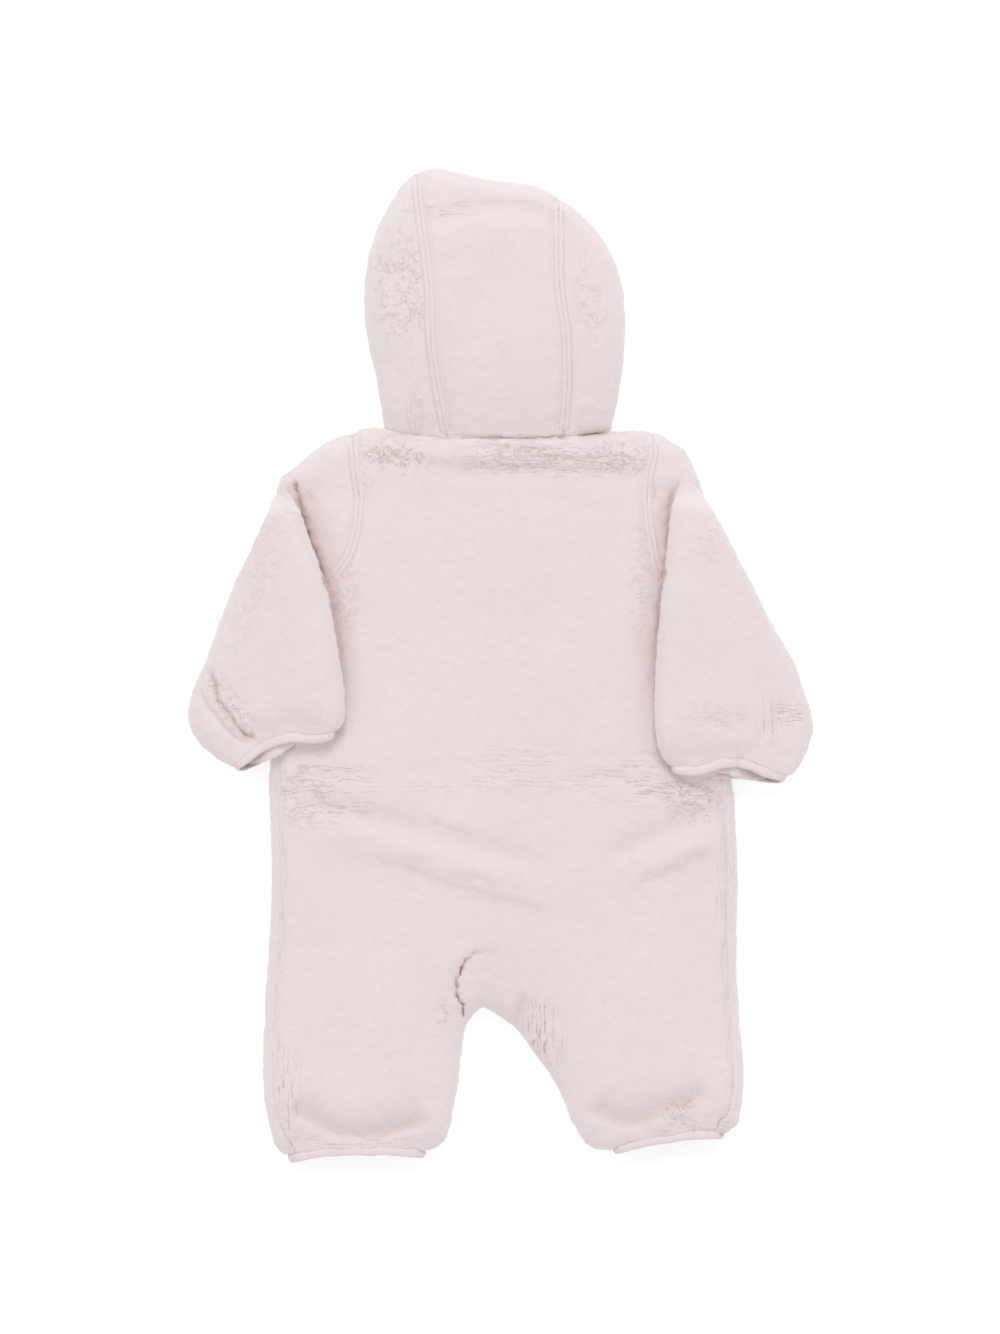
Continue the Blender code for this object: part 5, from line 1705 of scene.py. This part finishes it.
# ------------------------------------------------------------------ studio
@dataclass
class Studio:
    """A pale floor, soft lights from above and a camera that looks straight down."""

    centre: Plan = (0.0, -1.0)
    frame_height: float = 933.8
    distance: float = 3200.0
    floor_drop: float = 0.3
    floor_half: float = 3000.0
    sensor: float = 36.0
    sky: float = 0.605

    # each lamp's name, place and size in metres, and power in watts
    LAMPS = (("softbox_head", (0.0, 6.6, 7.0), 3.8, 342.0),
             ("softbox_foot", (0.0, -3.4, 3.2), 2.2, 22.0),
             ("softbox_left", (-2.8, 0.0, 3.0), 1.6, 12.5),
             ("softbox_right", (2.8, 0.0, 3.0), 1.6, 12.5))

    def floor(self) -> None:
        """Lay the floor."""
        corners = np.array([(x * self.floor_half, y * self.floor_half, -self.floor_drop)
                            for x, y in ((-1, -1), (1, -1), (1, 1), (-1, 1))])
        piece = mesh_from("studio_floor", corners, [(0, 1, 2, 3)])
        sheet = NodeSheet("studio_floor")
        sheet.set(Base_Color=(0.50, 0.50, 0.50, 1.0), Roughness=0.9, Specular_IOR_Level=0.1,
                  Emission_Color=(1.0, 1.0, 1.0, 1.0), Emission_Strength=0.60)
        piece.data.materials.append(sheet.material)

    def lamp(self, name: str, place: tuple[float, float, float], size: float,
             power: float) -> None:
        """Hang a square lamp, itself out of sight, that looks at the suit's middle.

        Args:
            name: The lamp's name.
            place: Where it hangs, in metres.
            size: Its edge's length, in metres.
            power: Its power in watts.
        """
        light = bpy.data.lights.new(name, "AREA")
        light.shape = "SQUARE"
        light.size = size
        light.energy = power
        lamp = bpy.data.objects.new(name, light)
        lamp.location = place
        lamp.visible_camera = False
        lamp.rotation_euler = (-lamp.location).to_track_quat("-Z", "Y").to_euler()
        bpy.context.scene.collection.objects.link(lamp)

    def surround(self) -> None:
        """Make the pale surroundings."""
        world = bpy.data.worlds.new("studio")
        world.use_nodes = True
        background = world.node_tree.nodes["Background"]
        background.inputs["Color"].default_value = (1.0, 1.0, 1.0, 1.0)
        background.inputs["Strength"].default_value = self.sky
        bpy.context.scene.world = world

    def camera(self) -> None:
        """Set up the camera."""
        lens = bpy.data.cameras.new("camera")
        lens.sensor_width = self.sensor
        lens.lens = self.sensor * self.distance / self.frame_height
        lens.clip_end = 20.0
        camera = bpy.data.objects.new("camera", lens)
        camera.location = (self.centre[0] * MM, self.centre[1] * MM, (self.distance + 20.0) * MM)
        bpy.context.scene.view_settings.view_transform = "Standard"
        bpy.context.scene.collection.objects.link(camera)
        bpy.context.scene.camera = camera

    def build(self) -> None:
        """Set up the floor, the lights and the camera."""
        self.floor()
        for lamp in self.LAMPS:
            self.lamp(*lamp)
        self.surround()
        self.camera()


# ------------------------------------------------------------------ the suit
@dataclass
class FleeceSuit:
    """The whole suit."""

    finishes: Finishes = field(default_factory=Finishes)

    def skins(self) -> dict[str, Skin]:
        """List the suit's cut pieces of fleece, each with the size that it was cut to.

        Returns:
            The pieces by name.
        """
        sleeve = {"flat": (0.24, 0.235), "folds": SLEEVE_FOLDS + TOP_FOLDS,
                  "patches": SLEEVE_CRINKLES}
        return {skin.name: skin for skin in (
            Skin("back_panel", ("back",), flat=(0.33, 0.52), area=0.137),
            Skin("front_panel_left", ("front_left", "leg_front_left"), flat=(0.18, 0.50),
                 area=0.070),
            Skin("front_panel_right", ("front_right", "leg_front_right"), flat=(0.18, 0.50),
                 area=0.071),
            Skin("left_sleeve", ("sleeve_left_head", "sleeve_left"), area=0.039,
                 runs_out=(-143.0, 127.0), **sleeve),
            Skin("right_sleeve", ("sleeve_right_head", "sleeve_right"), area=0.041,
                 runs_out=(130.0, 130.0), **sleeve),
            Skin("hood_strip_centre", ("hood_centre",), flat=(0.105, 0.25), area=0.021,
                 sewn_reach=3.6),
            Skin("hood_strip_left", ("hood_left",), flat=(0.13, 0.20), area=0.0166,
                 sewn_reach=3.0),
            Skin("hood_strip_right", ("hood_right",), flat=(0.13, 0.20), area=0.0145,
                 sewn_reach=3.0),
        )}

    def bindings(self) -> tuple[Binding, ...]:
        """List the suit's bindings.

        Returns:
            The bindings.
        """
        return (Binding("cuff_edge_left", ("cuff_left_binding",)),
                Binding("cuff_edge_right", ("cuff_right_binding",)),
                Binding("hem_edge_left", ("hem_left_binding",), inward=(-0.026, 0.9997), bow=4.6),
                Binding("hem_edge_right", ("hem_right_binding",), inward=(-0.18, 0.984), bow=3.4),
                Binding("face_edge", ("hood_binding",), inward=(0.0, 0.0)))

    def build(self) -> None:
        cloth = [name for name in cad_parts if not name.startswith("zip")]
        hollow = node_tree(cloth)
        skins = self.skins()
        for skin in skins.values():
            skin.build(hollow, self.finishes)
        edges = {binding.name: binding.build(self.finishes) for binding in self.bindings()}
        guide = node_tree([name for name in cloth if name not in ("sleeve_left", "sleeve_right")
                           and not name.startswith("cuff")])
        stitcher = Stitcher([skin.piece for skin in skins.values()], guide)
        seams = {seam.name: [stitcher.band(seam, self.finishes),
                             stitcher.stitches(seam, self.finishes)] for seam in SEAMS}
        self.declare(skins, edges, seams, ZipFastener().build(self.finishes))

    def declare(self, skins: dict[str, Skin], edges: dict[str, bpy.types.Object],
                seams: dict[str, list[bpy.types.Object]],
                tapes: dict[str, list[bpy.types.Object]]) -> None:
        """Pass each cut of cloth its binding, seams and tape, which its declare doesn't use.

        Args:
            skins: The cut pieces of fleece by name.
            edges: The bindings by name.
            seams: Each seam's band and stitches by its name.
            tapes: The zip's tape and coil by side.
        """
        skins["back_panel"].declare(seams["side_seam_left"] + seams["side_seam_right"])
        for word in ("left", "right"):
            skins[f"front_panel_{word}"].declare([edges[f"hem_edge_{word}"], *tapes[word]])
            skins[f"{word}_sleeve"].declare([edges[f"cuff_edge_{word}"],
                                             *seams[f"armhole_{word}"]])
            skins[f"hood_strip_{word}"].declare(seams[f"hood_seam_{word}"])
        skins["hood_strip_centre"].declare([edges["face_edge"]])


def main() -> None:
    """Build the suit and the studio, and report each piece."""
    logging.basicConfig(level=logging.INFO, format="%(name)s: %(message)s")
    FleeceSuit().build()
    Studio().build()
    LOG.info("floor, lights and camera are set")


if __name__ == "__main__":
    main()
